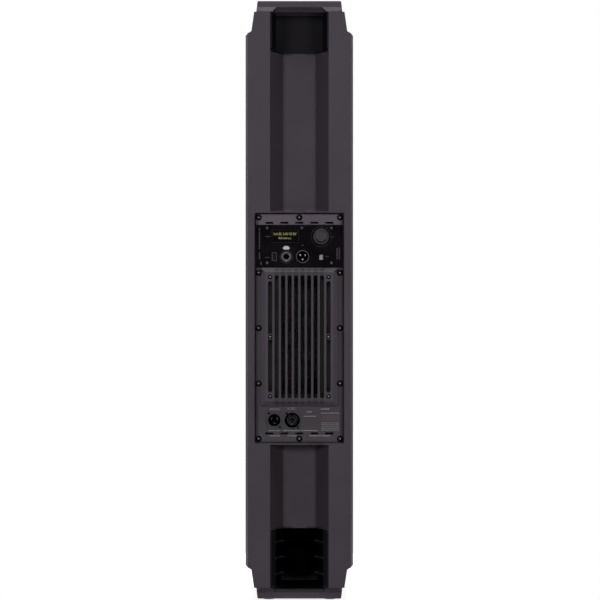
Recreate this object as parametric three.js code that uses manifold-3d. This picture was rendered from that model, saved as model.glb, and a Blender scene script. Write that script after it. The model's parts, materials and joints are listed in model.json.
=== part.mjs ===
// A powered line array column loudspeaker, standing on its feet.
// +Z is up, the drivers face -Y and the amplifier panel faces +Y. The origin is on the floor,
// under the middle of the cabinet. All sizes are in millimetres.
import * as THREE from "three";
import { mergeVertices } from "three/addons/utils/BufferGeometryUtils.js";
import Module from "manifold-3d";

// Whole loudspeaker
const cabinetHeight = 1055;
const cabinetWidth = 190;
const cabinetDepth = 275;
const seatGap = 0.3; // air between two pieces that seat on each other
const overrun = 6; // how far a cutter runs past the face that it cuts
const ribBite = 3; // how far a rib or frame runs into the wall that carries it

// Moulded shell: side walls, rear rails and the channel between the rails
const shellWall = 9;
const rearChamferWidth = 4.5;
const rearChamferDepth = 22;
const channelMouthWidth = 103.2;
const channelFloorWidth = 56.8;
const channelDepth = 42;
const endBlockHeight = 60; // narrowed length at each end, cap included
const shoulderRise = 6;
const shoulderWidth = 168.8;
const endWidth = 159;

// End caps
const capHeight = 19.5;
const capBaseWidth = 151.8;
const capTipWidth = 147.6;
const capBandHeight = 11; // upright band beyond the sloping lip
const capLipSetback = 6;
const capCorner = 9;
const capEdge = 1.6;
const capPlugDepth = 9; // how far the cap's plug reaches into the shell
const scoopWidth = 96;
const scoopTipWidth = 80;
const scoopSetback = 15;
const fingerRecessWidth = 86;
const fingerRecessDepth = 42;
const fingerRecessHeight = 12;
const gripThickness = 18;

// Rubber feet
const footRadius = 11;
const footStandoff = 2;
const footSeatDepth = 3;
const footInsetX = 20;
const footInsetY = 26;

// Carrying handle cup at the top of the channel
const cupHeight = 70;
const cupDepth = 64;
const cupWall = 2.5;
const cupDraft = 7; // how far each side leans in over the depth
const cupCorner = 6;

// Reflex port at the foot of the channel
const portHeight = 101;
const portDepth = 96;
const portWall = 2.5;
const portThroatWidth = 70;
const portFlareDepth = 60;
const portCorner = 6;
const portVaneCount = 3;
const portVanePitch = 28.2;
const portVaneThickness = 3;
const portVaneChord = 15;
const portVaneSetback = 16;
const portVaneSag = 40;

// Pole socket and flying points
const poleBoreRadius = 18;
const poleWall = 3;
const poleDepth = 76;
const poleFlangeRadius = 31;
const poleFlangeThickness = 3;
const flyThreadRadius = 4.3;
const flyBossRadius = 8;
const flyFlangeRadius = 12;
const flyFlangeThickness = 2.5;
const flyBossLength = 24;
const flyThreadDepth = 20;
const flyRearInset = 97.5; // rear flying point to the rear face
const flyFrontInset = 57.5; // front flying point to the grille's face

// Front baffle and grille
const baffleThickness = 14;
const grilleStandoff = 15.5;
const grilleSheet = 1.5;
const grilleInset = 2;
const grilleSideHeight = 8;
const grilleBevelWidth = 11;
const perforationRadius = 24;
const perforationBridge = 8;
const grilleBorder = 11;

// Woofers: four, two above and two below the high-frequency waveguide. What height the five flanges
// leave free is shared between the four gaps, which are alike, and the two ends.
const driverGapShare = 0.0478;
const wooferCount = 4;
const wooferFlangeRadius = 82;
const wooferFlangeThickness = 4;
const wooferBodyRadius = 72.5;
const surroundLedgeRadius = 76;
const surroundLedgeDepth = 2;
const basketInnerRadius = 70.3;
const basketWall = 2.6;
const basketDepth = 46;
const basketFootRadius = 43;
const basketFootThickness = 4;
const basketWindowCount = 4;
const basketWindowShare = 0.5;
const coneEdgeRadius = 62;
const coneEdgeDepth = 0.9;
const coneNeckDepth = 35;
const coneWall = 1.5;
const dustCapRise = 7;
const dustCapShoulderShare = 0.62;
const coilRadius = 19.5;
const coilWall = 1;
const coilEndDepth = 62;
const coilGap = 1.2; // air on each side of the voice coil
const surroundWall = 1.1;
const surroundLipWidth = 5;
const spiderDepth = 41;
const spiderRadius = 38;
const spiderWall = 1;
const spiderWave = 1.6;
const spiderWaves = 1;
const spiderLedgeWidth = 3;
const magnetRadius = 44;
const magnetThickness = 29;
const magnetSlotFloor = 5; // metal left under the voice coil's slot
const magnetChamfer = 3;

// High-frequency waveguide and its two compression drivers
const hornFlangeWidth = 166;
const hornHeightShare = 0.1875; // of the shell's height
const hornRim = 9; // flange beside the mouth, above and below it
const hornFlangeThickness = 4;
const hornMouthWidth = 144;
const hornSlotWidth = 16;
const hornDepth = 58;
const hornWall = 3;
const hornBackThickness = 6;
const hornThroatRadius = 12.5;
const hornSteps = 7;
const driverPitch = 92;
const driverRadius = 43;
const driverFlangeThickness = 5;
const driverBodyRadius = 39;
const driverBodyDepth = 30;
const driverCapRadius = 27;
const driverCapDepth = 10;

// Amplifier module: panel in its cut-out
const panelCentreHeight = 478.5;
const panelWidth = 153;
const mainsStripHeight = 64.2; // panel below the vent cover, with the mains sockets
const panelThickness = 3;
const panelCorner = 7;
const panelRecess = 13; // panel face below the rear rails
const panelShadowGap = 2.4;
const panelScrewEdge = 4.7; // screw line to the panel's long edge
const panelScrewEnd = 5.6; // screw line to the panel's short edge
const panelScrewRadius = 3.3;
const panelScrewRows = 5;
const gasketThickness = 1.5;
const gasketWidth = 7.5;
const frameRim = 2;
const frameRamp = 1.2;
const ledgeWidth = 10.5; // how far the cut-out's ledge stands in under the panel
const louvreWidth = 14.1;
const louvreHeight = 3.2;
const louvrePitch = 26.5;
const louvreCount = 5;
const louvreEnd = 15; // louvre line to the panel's short edge

// Finned cover over the amplifier's heat sink
const ventSideMargin = 8.6; // cover to the panel's long edge
const ventBaseHeight = 243;
const ventDraft = 7.4; // how far each side leans in above its upright foot
const ventRise = 11.3;
const ventFootHeight = 5.2;
const ventSlotCount = 10;
const ventSlotPitch = 11.4;
const ventSlotWidth = 7.4;
const ventSlotEnd = 5.6; // slot to the end of the cover's top face
const ventLeadDepth = 1.2; // grooves that run on from the slots' ends
const ventLeadEnd = 2.5; // those grooves to the cover's edge
const ventOuterSlotEnd = 16.1;
const finDepth = 15; // fins below the panel's face
const finMargin = 4;
const ventScrewEnd = 9.1; // end screws to the end of the cover's top face
const ventBossRadius = 5.6;
const ventCounterboreRadius = 4.3;
const ventCounterboreDepth = 3;
const scallopClearance = 3.2;

// Control fascia and what is on it
const fasciaTopDrop = 18.7;
const fasciaHeight = 75.4;
const fasciaThickness = 2;
const displayX = 25;
const displayZ = 17.9;
const displayWidth = 46;
const displayHeight = 22;
const lensThickness = 1.4;
const displayModuleThickness = 3;
const displayBorder = 3;
const knobX = -38.5;
const knobZ = 16.6;
const knobRadius = 14.6;
const knobHeight = 8;
const knobGrooveDepth = 1.3; // between the knob's crown and its skirt
const knobGrooveWidth = 1;
const knobSkirtHeight = 3;
const knobRingRadius = 18.3; // raised ring on the fascia round the knob
const knobRingWidth = 1.5;
const knobRingHeight = 0.4;
const knobLift = 1.9; // knob skirt above the fascia
const knobEdge = 1.4;
const knobFluteCount = 12;
const knobFluteRadius = 0.9;
const knobBoreDepth = 5;
const shaftRadius = 3;
const bushRadius = 4.6;
const bushHeight = 0.5; // bush above the fascia
const encoderBodySize = 13;
const encoderBodyDepth = 8;
const pushTravel = 1;
const encoderFloor = 1.5;
const connectorRowDrop = 18.3;
const comboX = 23;
const comboRadius = 11.8;
const comboProud = 0.7;
const comboDepth = 24;
const comboFloor = 6; // thickness behind the jack's bore
const jackRadius = 3.4;
const comboGrooveRadius = 9.6;
const comboGrooveWidth = 1.5;
const comboGrooveDepth = 12;
const contactRadius = 1.4;
const contactCircle = 5.8;
const latchWidth = 12.4; // at its shoulders
const latchFootWidth = 9;
const latchShoulderShare = 0.42;
const latchTipWidth = 7;
const latchHeight = 6.4;
const latchDepth = 14;
const latchProud = 2.4;
const linkX = -5.8;
const linkRadius = 11.6;
const linkBoreRadius = 9.5;
const linkBoreDepth = 13;
const linkDepth = 22;
const linkProud = 0.9;
const pinRadius = 1.2;
const pinCircle = 4.9;
const pinLength = 11;
const serviceX = 44.1;
const serviceWidth = 8;
const serviceHeight = 15;
const serviceWall = 1.1;
const serviceDepth = 14;
const serviceProud = 0.5;
const serviceTongue = 1.8;
const liftX = -38.5;
const liftSlotWidth = 6.6;
const liftSlotHeight = 12;
const liftSliderWidth = 5.8;
const liftSliderHeight = 8.8;
const liftSliderProud = 2.6;
const liftBodyWidth = 12;
const liftBodyHeight = 24;
const liftBodyDepth = 7;
const liftPocketDepth = 4;

// Mains inlet and outlet
const mainsEnd = 38.4; // middle of the sockets above the panel's lower edge
const mainsInletX = 44;
const mainsOutletX = 12.5;
const flangePlateWidth = 27;
const flangePlateHeight = 31;
const flangePlateThickness = 2;
const flangePlateCorner = 5;
const mainsBodyRadius = 12.9;
const mainsDepth = 22;
const mainsRingRadius = 13.4;
const mainsRingHeight = 1.2;
const mainsBoreRadius = 10.6;
const mainsBoreDepth = 14;
const bladeWidth = 1.6;
const bladeHeight = 4.4;
const bladeCircle = 5.6;
const bladeLength = 11;
const outletBoreRadius = 11.8;
const outletHubRadius = 6.2;
const outletHubBore = 2.2;

// Electronics inside the module
const backBoxWall = 1.5;
const backBoxDepth = 74;
const backBoxClearance = 1;
const boardThickness = 1.6;
const controlBoardWidth = 126;
const controlBoardHeight = 64;
const powerBoardEnd = 7.2; // board to the back box, at each end
const standoffRadius = 4;
const standoffLength = 12;
const standoffInset = 9;
const capacitorRadius = 12;
const capacitorLength = 30;
const capacitorPitch = 30;
const capacitorCount = 3;
const capacitorDrop = 18;
const inductorRadius = 14;
const inductorLength = 14;
const inductorRise = 86;
const transformerWidth = 46;
const transformerHeight = 58;
const transformerDepth = 34;
const transformerRise = 33; // above the power board's lower end
const spreaderThickness = 5;
const spreaderWindowWidth = 66;
const spreaderMargin = 10;

// Numbers of flat sides on round things
const fineSides = 24;
const roundSides = 16;
const holeSides = 8;
const screwSides = 6;
const cornerSides = 4; // on each rounded corner
const plainCornerSides = 3;
const portFlareSides = 4;
const portVaneSides = 6;
const ventSlotSides = 3; // on each quarter of a slot's rounded end
const surroundRollSides = 3;
const pinCount = 3; // contacts or pins in each round socket

// Planes and heights that follow from the sizes above
const rearFace = cabinetDepth / 2;
const grilleFace = -cabinetDepth / 2;
const baffleFace = grilleFace + grilleStandoff;
const baffleBack = baffleFace + baffleThickness;
const shellFront = baffleBack + seatGap;
const channelFloor = rearFace - channelDepth;
const shellBottom = footStandoff + capHeight + seatGap;
const shellTop = cabinetHeight - capHeight - seatGap;
const waveguideHeight = cabinetHeight / 2;
const panelFace = rearFace - panelRecess;
const panelBack = -panelThickness; // in the module's own frame, whose y is 0 at the panel's face
const ledgeFace = panelFace - panelThickness - gasketThickness - 2 * seatGap;
const panelHeight = fasciaTopDrop + fasciaHeight + seatGap + ventBaseHeight + mainsStripHeight;
const cutoutWidth = panelWidth + 2 * panelShadowGap;
const cutoutHeight = panelHeight + 2 * panelShadowGap;
const openingWidth = cutoutWidth - 2 * ledgeWidth;
const openingHeight = cutoutHeight - 2 * ledgeWidth;
const ventBaseWidth = panelWidth - 2 * ventSideMargin;
const ventTopWidth = ventBaseWidth - 2 * ventDraft;
const ventTopHeight = ventBaseHeight - 2 * ventDraft;
const ventSlotLength = ventTopHeight - 2 * ventSlotEnd;
const ventOuterSlotLength = ventTopHeight - 2 * ventOuterSlotEnd;
const ventScrewReach = ventTopHeight / 2 - ventScrewEnd;
const mainsDrop = panelHeight / 2 - mainsEnd;
const hornFlangeHeight = hornHeightShare * (shellTop - shellBottom);
const hornMouthHeight = hornFlangeHeight - 2 * hornRim;

const wasm = await Module();
wasm.setup();

// A closed three.js geometry as a solid that can be joined and cut. A lathe profile drawn from its far
// end comes out with its faces inwards, so its triangles are turned over.
function toSolid(geometry) {
  const bare = geometry.index ? geometry.toNonIndexed() : geometry.clone();
  for (const attribute of Object.keys(bare.attributes)) {
    if (attribute !== "position") bare.deleteAttribute(attribute);
  }
  const merged = mergeVertices(bare);
  const corners = merged.index.array;
  const kept = [];
  for (let i = 0; i < corners.length; i += 3) {
    const [a, b, c] = [corners[i], corners[i + 1], corners[i + 2]];
    if (a !== b && b !== c && a !== c) kept.push(a, b, c);
  }
  const vertProperties = Float32Array.from(merged.attributes.position.array);
  const solidOf = (indices) =>
    new wasm.Manifold(new wasm.Mesh({ numProp: 3, vertProperties, triVerts: Uint32Array.from(indices) }));
  const solid = solidOf(kept);
  return solid.volume() > 0 ? solid : solidOf(kept.reverse());
}

// A solid as a three.js geometry.
function toGeometry(solid) {
  const mesh = solid.getMesh();
  const positions = new Float32Array(mesh.numVert * 3);
  for (let i = 0; i < mesh.numVert; i++) {
    positions.set(mesh.vertProperties.subarray(i * mesh.numProp, i * mesh.numProp + 3), i * 3);
  }
  const geometry = new THREE.BufferGeometry();
  geometry.setAttribute("position", new THREE.BufferAttribute(positions, 3));
  geometry.setIndex(new THREE.BufferAttribute(mesh.triVerts, 1));
  geometry.computeVertexNormals();
  return geometry;
}

// Joins a list of solids, and cuts a list of solids out of one.
const join = (solids) => solids.reduce((all, next) => all.add(next));
const cut = (solid, cutters) => cutters.reduce((left, next) => left.subtract(next), solid);

// A flat outline from [across, up] points, and one drawn from its right half.
const outline = (points) => new THREE.Shape(points.map(([x, y]) => new THREE.Vector2(x, y)));
const mirrored = (right) => outline([...right, ...right.map(([x, y]) => [-x, y]).reverse()]);

function roundedRectangle(x, y, width, height, radius) {
  const [left, right] = [x - width / 2, x + width / 2];
  const [low, high] = [y - height / 2, y + height / 2];
  const quarter = Math.PI / 2;
  const shape = new THREE.Shape();
  shape.moveTo(left + radius, low);
  shape.lineTo(right - radius, low);
  shape.absarc(right - radius, low + radius, radius, -quarter, 0);
  shape.lineTo(right, high - radius);
  shape.absarc(right - radius, high - radius, radius, 0, quarter);
  shape.lineTo(left + radius, high);
  shape.absarc(left + radius, high - radius, radius, quarter, 2 * quarter);
  shape.lineTo(left, low + radius);
  shape.absarc(left + radius, low + radius, radius, 2 * quarter, 3 * quarter);
  return shape;
}

// Extrudes an outline along Z, Y or X, between two places on that axis.
const alongZ = new THREE.Matrix4();
const alongY = new THREE.Matrix4().makeBasis(
  new THREE.Vector3(1, 0, 0),
  new THREE.Vector3(0, 0, 1),
  new THREE.Vector3(0, -1, 0),
);
const alongX = new THREE.Matrix4().makeBasis(
  new THREE.Vector3(0, 1, 0),
  new THREE.Vector3(0, 0, 1),
  new THREE.Vector3(1, 0, 0),
);
function extruded(shape, depth, turn, arcSteps) {
  const options = { depth, bevelEnabled: false, curveSegments: arcSteps, steps: 1 };
  return new THREE.ExtrudeGeometry(shape, options).applyMatrix4(turn);
}
const prismZ = (shape, low, high, arcSteps = cornerSides) =>
  toSolid(extruded(shape, high - low, alongZ, arcSteps).translate(0, 0, low));
const prismY = (shape, front, rear, arcSteps = cornerSides) =>
  toSolid(extruded(shape, rear - front, alongY, arcSteps).translate(0, rear, 0));
const prismX = (shape, left, right, arcSteps = cornerSides) =>
  toSolid(extruded(shape, right - left, alongX, arcSteps).translate(left, 0, 0));

function block([x0, x1], [y0, y1], [z0, z1]) {
  const box = new THREE.BoxGeometry(x1 - x0, y1 - y0, z1 - z0);
  return toSolid(box.translate((x0 + x1) / 2, (y0 + y1) / 2, (z0 + z1) / 2));
}
const centredBlock = (width, [y0, y1], height, x = 0, z = 0) =>
  block([x - width / 2, x + width / 2], [y0, y1], [z - height / 2, z + height / 2]);

// A round rod along Y, and one along Z.
function rodY(radius, front, rear, x = 0, z = 0, sides = holeSides) {
  const rod = new THREE.CylinderGeometry(radius, radius, rear - front, sides);
  return toSolid(rod.translate(x, (front + rear) / 2, z));
}
function rodZ(radius, low, high, x = 0, y = 0, sides = holeSides) {
  const rod = new THREE.CylinderGeometry(radius, radius, high - low, sides);
  return toSolid(rod.rotateX(Math.PI / 2).translate(x, y, (low + high) / 2));
}

// Turns a [radius, depth] profile about the Y axis. It starts and ends on the axis or closes on itself.
function turnedY(profile, sides = roundSides) {
  const points = profile.map(([radius, depth]) => new THREE.Vector2(radius, depth));
  return toSolid(new THREE.LatheGeometry(points, sides));
}
const closed = (profile) => [...profile, profile[0]];

const finish = (color, roughness, metalness) =>
  new THREE.MeshStandardMaterial({ color, roughness, metalness });
const mouldedShell = finish(0x464147, 0.62, 0);
const blackMoulding = finish(0x1c1a1e, 0.7, 0);
const blackRubber = finish(0x121113, 0.85, 0);
const grilleSteel = finish(0x232125, 0.55, 0.4);
const paintedPanel = finish(0x4d484e, 0.5, 0.3);
const glossBlack = finish(0x100b10, 0.12, 0);
const darkGlass = finish(0x0a0a0c, 0.05, 0);
const bareSteel = finish(0xa9a9ab, 0.35, 0.9);
const basketSteel = finish(0x2a2a2c, 0.5, 0.5);
const coneBlack = finish(0x19181a, 0.8, 0);
const spiderCloth = finish(0x957c50, 0.9, 0);
const magnetGrey = finish(0x4a4b4e, 0.45, 0.7);
const knobGrey = finish(0x44424a, 0.55, 0);
const plasticBlack = finish(0x151417, 0.5, 0);
const paleGrey = finish(0xc9c6c8, 0.45, 0);
const boardGreen = finish(0x1d3b2a, 0.6, 0);
const galvanised = finish(0x8d9094, 0.45, 0.8);
const foamSeal = finish(0x0d0d0e, 0.95, 0);

const loudspeaker = new THREE.Group();

function addPiece(group, name, solid, material, x = 0, y = 0, z = 0) {
  const mesh = new THREE.Mesh(toGeometry(solid), material);
  mesh.name = name;
  mesh.position.set(x, y, z);
  group.add(mesh);
}

// Half the cabinet's width at each height: narrow end blocks, sloping shoulders, full width between.
const widthStations = [
  [shellBottom, endWidth / 2],
  [endBlockHeight - shoulderRise, shoulderWidth / 2],
  [endBlockHeight, cabinetWidth / 2],
  [cabinetHeight - endBlockHeight, cabinetWidth / 2],
  [cabinetHeight - endBlockHeight + shoulderRise, shoulderWidth / 2],
  [shellTop, endWidth / 2],
];

function halfWidthAt(height) {
  const above = widthStations.findIndex(([z]) => z >= height);
  const [z1, w1] = widthStations[Math.max(above, 1)];
  const [z0, w0] = widthStations[Math.max(above, 1) - 1];
  return w0 + ((w1 - w0) * (height - z0)) / (z1 - z0);
}

// The cabinet as its front shows it, drawn in by a wall and shortened at both ends.
function frontOutline(inset, endInset) {
  const right = widthStations.map(([z, half]) => [half - inset, z]);
  right[0][1] += endInset;
  right[right.length - 1][1] -= endInset;
  return mirrored(right);
}

// The cabinet as its plan shows it, drawn in by a wall, with the channel between the rails.
const slopeRun = (channelMouthWidth - channelFloorWidth) / 2;
const slopeLength = Math.hypot(slopeRun, channelDepth);

function planOutline(inset, front) {
  const side = cabinetWidth / 2 - inset;
  const rear = rearFace - inset;
  const slopeShift = (inset * slopeLength) / channelDepth;
  const slopeAt = (y) =>
    channelFloorWidth / 2 + slopeShift + (slopeRun * (y - channelFloor)) / channelDepth;
  const floor = channelFloor - inset;
  return mirrored([
    [side, front],
    [side, rear - rearChamferDepth],
    [side - rearChamferWidth, rear],
    [slopeAt(rear), rear],
    [slopeAt(floor), floor],
  ]);
}

// The air in the channel between two heights.
function channelSpace(low, high) {
  const opened = (slopeRun * overrun) / channelDepth;
  const shape = mirrored([
    [channelMouthWidth / 2 + opened, rearFace + overrun],
    [channelFloorWidth / 2, channelFloor],
  ]);
  return prismZ(shape, low, high);
}

// The space that the handle cup takes, drawn in by a wall and grown by a gap.
const cupBottom = shellTop - cupHeight;
function cupSpace(inset, gap, high) {
  const mouth = channelMouthWidth / 2 - seatGap - inset + gap;
  const back = rearFace - cupDepth + inset - gap;
  const plan = mirrored([
    [mouth, rearFace + overrun],
    [mouth, rearFace],
    [mouth - cupDraft, back],
  ]);
  const low = cupBottom + inset - gap;
  const middle = (low + high) / 2;
  const view = roundedRectangle(0, middle + cupCorner, 2 * mouth, high - low + 2 * cupCorner, cupCorner);
  return prismZ(plan, low, high).intersect(prismY(view, back, rearFace + overrun));
}

// Half the port's width at a depth behind the rails: wide at the mouth, flaring in to the throat.
function portHalfWidth(depth) {
  const mouth = channelMouthWidth / 2 - seatGap;
  const left = Math.max(0, 1 - depth / portFlareDepth);
  return portThroatWidth / 2 + (mouth - portThroatWidth / 2) * left ** 2;
}

// The space that the port duct takes, drawn in by a wall, grown by a gap, to a depth.
const portTop = shellBottom + portHeight;
function portSpace(inset, gap, depth) {
  const right = [[portHalfWidth(0) - inset + gap, rearFace + overrun]];
  for (let i = 0; i <= portFlareSides; i++) {
    const behind = (portFlareDepth * i) / portFlareSides;
    right.push([portHalfWidth(behind) - inset + gap, rearFace - behind]);
  }
  right.push([portThroatWidth / 2 - inset + gap, rearFace - depth]);
  const low = shellBottom + inset - gap;
  const high = portTop - inset + gap;
  const width = 2 * (portHalfWidth(0) - inset + gap);
  const view = roundedRectangle(0, (low + high) / 2, width, high - low, portCorner);
  return prismZ(mirrored(right), low, high).intersect(
    prismY(view, rearFace - depth - gap, rearFace + overrun),
  );
}

// The frame round the amplifier's cut-out, which fills the channel and ramps down to its floor.
function amplifierFrame() {
  const inner = channelFloor - shellWall;
  const reach = cutoutHeight / 2 + frameRim;
  const side = outline([
    [inner, panelCentreHeight - reach - frameRamp],
    [channelFloor, panelCentreHeight - reach - frameRamp],
    [rearFace, panelCentreHeight - reach],
    [rearFace, panelCentreHeight + reach],
    [channelFloor, panelCentreHeight + reach + frameRamp],
    [inner, panelCentreHeight + reach + frameRamp],
  ]);
  const half = cabinetWidth / 2 - shellWall + ribBite;
  return prismX(side, -half, half);
}

const flyPoints = [
  ["fly_point_rear", rearFace - flyRearInset],
  ["fly_point_front", grilleFace + flyFrontInset],
];

// What the shell and the caps' plugs leave free round the handle cup and round the port.
const cupCutter = cupSpace(0, seatGap, shellTop + overrun);
const portCutter = portSpace(0, seatGap, portDepth + overrun);

// The shell is a tube that is open at both ends and at the front.
function cabinetShell() {
  const full = prismZ(planOutline(0, shellFront), shellBottom, shellTop).intersect(
    prismY(frontOutline(0, 0), shellFront, rearFace),
  );
  const cavity = prismZ(
    planOutline(shellWall, shellFront - overrun),
    shellBottom - overrun,
    shellTop + overrun,
  ).intersect(prismY(frontOutline(shellWall, -overrun), shellFront - overrun, rearFace));
  const recess = prismY(
    roundedRectangle(0, panelCentreHeight, cutoutWidth, cutoutHeight, panelShadowGap),
    ledgeFace,
    rearFace + overrun,
  );
  const opening = centredBlock(
    openingWidth,
    [channelFloor - shellWall - overrun, rearFace],
    openingHeight,
    0,
    panelCentreHeight,
  );
  const framed = full.subtract(cavity).add(amplifierFrame());
  return cut(framed, [recess, opening, cupCutter, portCutter]);
}
addPiece(loudspeaker, "cabinet_shell", cabinetShell(), mouldedShell);

// The cup's lower wall ends level with the channel's floor and slopes.
function handleCup() {
  const open = cupSpace(cupWall, 0, shellTop + overrun);
  const below = channelSpace(cupBottom - overrun, cupBottom + cupCorner);
  return cut(cupSpace(0, 0, shellTop).intersect(railSide()), [open, below]);
}

// Everything in front of the rear rails' plane, so that a liner ends level with the rails.
function railSide() {
  return block(
    [-cabinetWidth / 2, cabinetWidth / 2],
    [shellFront, rearFace - seatGap],
    [shellBottom, shellTop],
  );
}
addPiece(loudspeaker, "handle_cup", handleCup(), blackMoulding);

// A bowed vane across the port: its ends are near the mouth and its middle is deep inside.
function portVane(height) {
  const half = channelMouthWidth / 2;
  const edge = (start) =>
    Array.from({ length: portVaneSides + 1 }, (_, i) => {
      const across = -1 + (2 * i) / portVaneSides;
      return [half * across, rearFace - start - portVaneSag * (1 - across ** 2)];
    });
  const shape = outline([...edge(portVaneSetback), ...edge(portVaneSetback + portVaneChord).reverse()]);
  return prismZ(shape, height - portVaneThickness / 2, height + portVaneThickness / 2);
}

function portDuct() {
  const skin = portSpace(0, 0, portDepth).intersect(railSide());
  const tube = skin.subtract(portSpace(portWall, 0, portDepth + overrun));
  const middle = (shellBottom + portTop) / 2;
  const vanes = Array.from({ length: portVaneCount }, (_, i) =>
    portVane(middle + (i - (portVaneCount - 1) / 2) * portVanePitch).intersect(skin),
  );
  return join([tube, ...vanes]).subtract(channelSpace(portTop - portCorner, portTop + overrun));
}
addPiece(loudspeaker, "port_duct", portDuct(), blackMoulding);

// An end cap with its seat on the shell at height 0 and its tip at capHeight. Its rear lip slopes in
// from the rails' plane to an upright band, and is scooped out where it crosses the cup or the port.
const capLip = capHeight - capBandHeight;
const capBand = rearFace - capLipSetback;
function capBody() {
  const front = mirrored([
    [capBaseWidth / 2, 0],
    [capTipWidth / 2, capHeight - capEdge],
    [capTipWidth / 2 - capEdge, capHeight],
  ]);
  const side = outline([
    [baffleFace, 0],
    [rearFace, 0],
    [capBand, capLip],
    [capBand, capHeight - capEdge],
    [capBand - capEdge, capHeight],
    [grilleFace + capEdge, capHeight],
    [grilleFace, capHeight - capEdge],
    [grilleFace, capLip],
  ]);
  const plan = roundedRectangle(0, 0, capBaseWidth, cabinetDepth, capCorner);
  const scoopSide = outline([
    [rearFace - scoopSetback, -overrun],
    [rearFace - scoopSetback, 0],
    [capBand, capLip],
    [rearFace + overrun, capLip],
    [rearFace + overrun, -overrun],
  ]);
  const scoopFront = mirrored([
    [scoopWidth / 2, -overrun],
    [scoopWidth / 2, 0],
    [scoopTipWidth / 2, capLip],
  ]);
  const scoop = prismX(scoopSide, -scoopWidth, scoopWidth).intersect(
    prismY(scoopFront, rearFace - scoopSetback, rearFace + overrun),
  );
  return prismY(front, grilleFace, rearFace)
    .intersect(prismX(side, -capBaseWidth / 2, capBaseWidth / 2))
    .intersect(prismZ(plan, 0, capHeight, plainCornerSides))
    .subtract(scoop);
}

// The plug that closes an end of the shell from inside, between two heights.
function capPlug(low, high) {
  const inset = shellWall + seatGap;
  return prismZ(planOutline(inset, shellFront), low, high).intersect(
    prismY(frontOutline(inset, -overrun), shellFront, rearFace),
  );
}

function topCap() {
  const seat = shellTop + seatGap;
  const plug = capPlug(seat - capPlugDepth, seat + ribBite).subtract(cupCutter).translate(0, 0, -seat);
  const recess = block(
    [-fingerRecessWidth / 2, fingerRecessWidth / 2],
    [rearFace - gripThickness - fingerRecessDepth, rearFace - gripThickness],
    [-overrun, fingerRecessHeight],
  );
  const flyHoles = flyPoints.flatMap(([, y]) => [
    rodZ(flyBossRadius + seatGap, -capPlugDepth - overrun, capHeight + overrun, 0, y),
    rodZ(flyFlangeRadius + seatGap, capHeight - flyFlangeThickness - seatGap, capHeight + overrun, 0, y),
  ]);
  return cut(capBody().add(plug), [recess, ...flyHoles]);
}
addPiece(loudspeaker, "top_cap", topCap(), mouldedShell, 0, 0, shellTop + seatGap);

const footPlaces = [-1, 1].flatMap((across) =>
  [-1, 1].map((along) => [
    across * (capTipWidth / 2 - footInsetX),
    along * (rearFace - footInsetY),
  ]),
);

// The bottom cap has the same body, turned over about the Y axis.
function bottomCap() {
  const seat = shellBottom - seatGap;
  const turned = toSolid(toGeometry(capBody()).rotateY(Math.PI));
  const plug = capPlug(seat - ribBite, seat + capPlugDepth).subtract(portCutter).translate(0, 0, -seat);
  const footSeats = footPlaces.map(([x, y]) =>
    rodZ(footRadius + seatGap, -capHeight - overrun, -capHeight + footSeatDepth, x, y, roundSides),
  );
  const poleHole = rodZ(
    poleBoreRadius + poleWall + seatGap,
    -capHeight - overrun,
    capPlugDepth + overrun,
    0,
    0,
    fineSides,
  );
  const poleSeat = rodZ(
    poleFlangeRadius + seatGap,
    -capHeight - overrun,
    -capHeight + poleFlangeThickness + seatGap,
    0,
    0,
    fineSides,
  );
  return cut(turned.add(plug), [...footSeats, poleHole, poleSeat]);
}
addPiece(loudspeaker, "bottom_cap", bottomCap(), mouldedShell, 0, 0, shellBottom - seatGap);

function rubberFoot() {
  const top = footStandoff + footSeatDepth - seatGap;
  return rodZ(footRadius, 0, top, 0, 0, roundSides);
}
footPlaces.forEach(([x, y], i) =>
  addPiece(loudspeaker, `rubber_foot_${i + 1}`, rubberFoot(), blackRubber, x, y),
);

// A steel cup for a stand pole, open at the bottom.
function poleSocket() {
  const low = footStandoff;
  const outer = poleBoreRadius + poleWall;
  const flange = rodZ(poleFlangeRadius, low, low + poleFlangeThickness, 0, 0, fineSides);
  const tube = rodZ(outer, low, low + poleDepth + poleWall, 0, 0, fineSides);
  const bore = rodZ(poleBoreRadius, low - overrun, low + poleDepth, 0, 0, fineSides);
  return flange.add(tube).subtract(bore);
}
addPiece(loudspeaker, "pole_socket", poleSocket(), basketSteel);

// A threaded flanged insert, level with the top cap.
function flyPoint() {
  const top = cabinetHeight;
  const flange = rodZ(flyFlangeRadius, top - flyFlangeThickness, top);
  const boss = rodZ(flyBossRadius, top - flyBossLength, top);
  const thread = rodZ(flyThreadRadius, top - flyThreadDepth, top + overrun);
  return flange.add(boss).subtract(thread);
}
flyPoints.forEach(([name, y]) => addPiece(loudspeaker, name, flyPoint(), bareSteel, 0, y));

const driverStack = 2 * wooferCount * wooferFlangeRadius + hornFlangeHeight;
const driverGap = driverGapShare * (shellTop - shellBottom - driverStack);
const wooferPitch = 2 * wooferFlangeRadius + driverGap;
const innerWooferRise = hornFlangeHeight / 2 + driverGap + wooferFlangeRadius;
const wooferHeights = [
  waveguideHeight - innerWooferRise - wooferPitch,
  waveguideHeight - innerWooferRise,
  waveguideHeight + innerWooferRise,
  waveguideHeight + innerWooferRise + wooferPitch,
];

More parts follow.
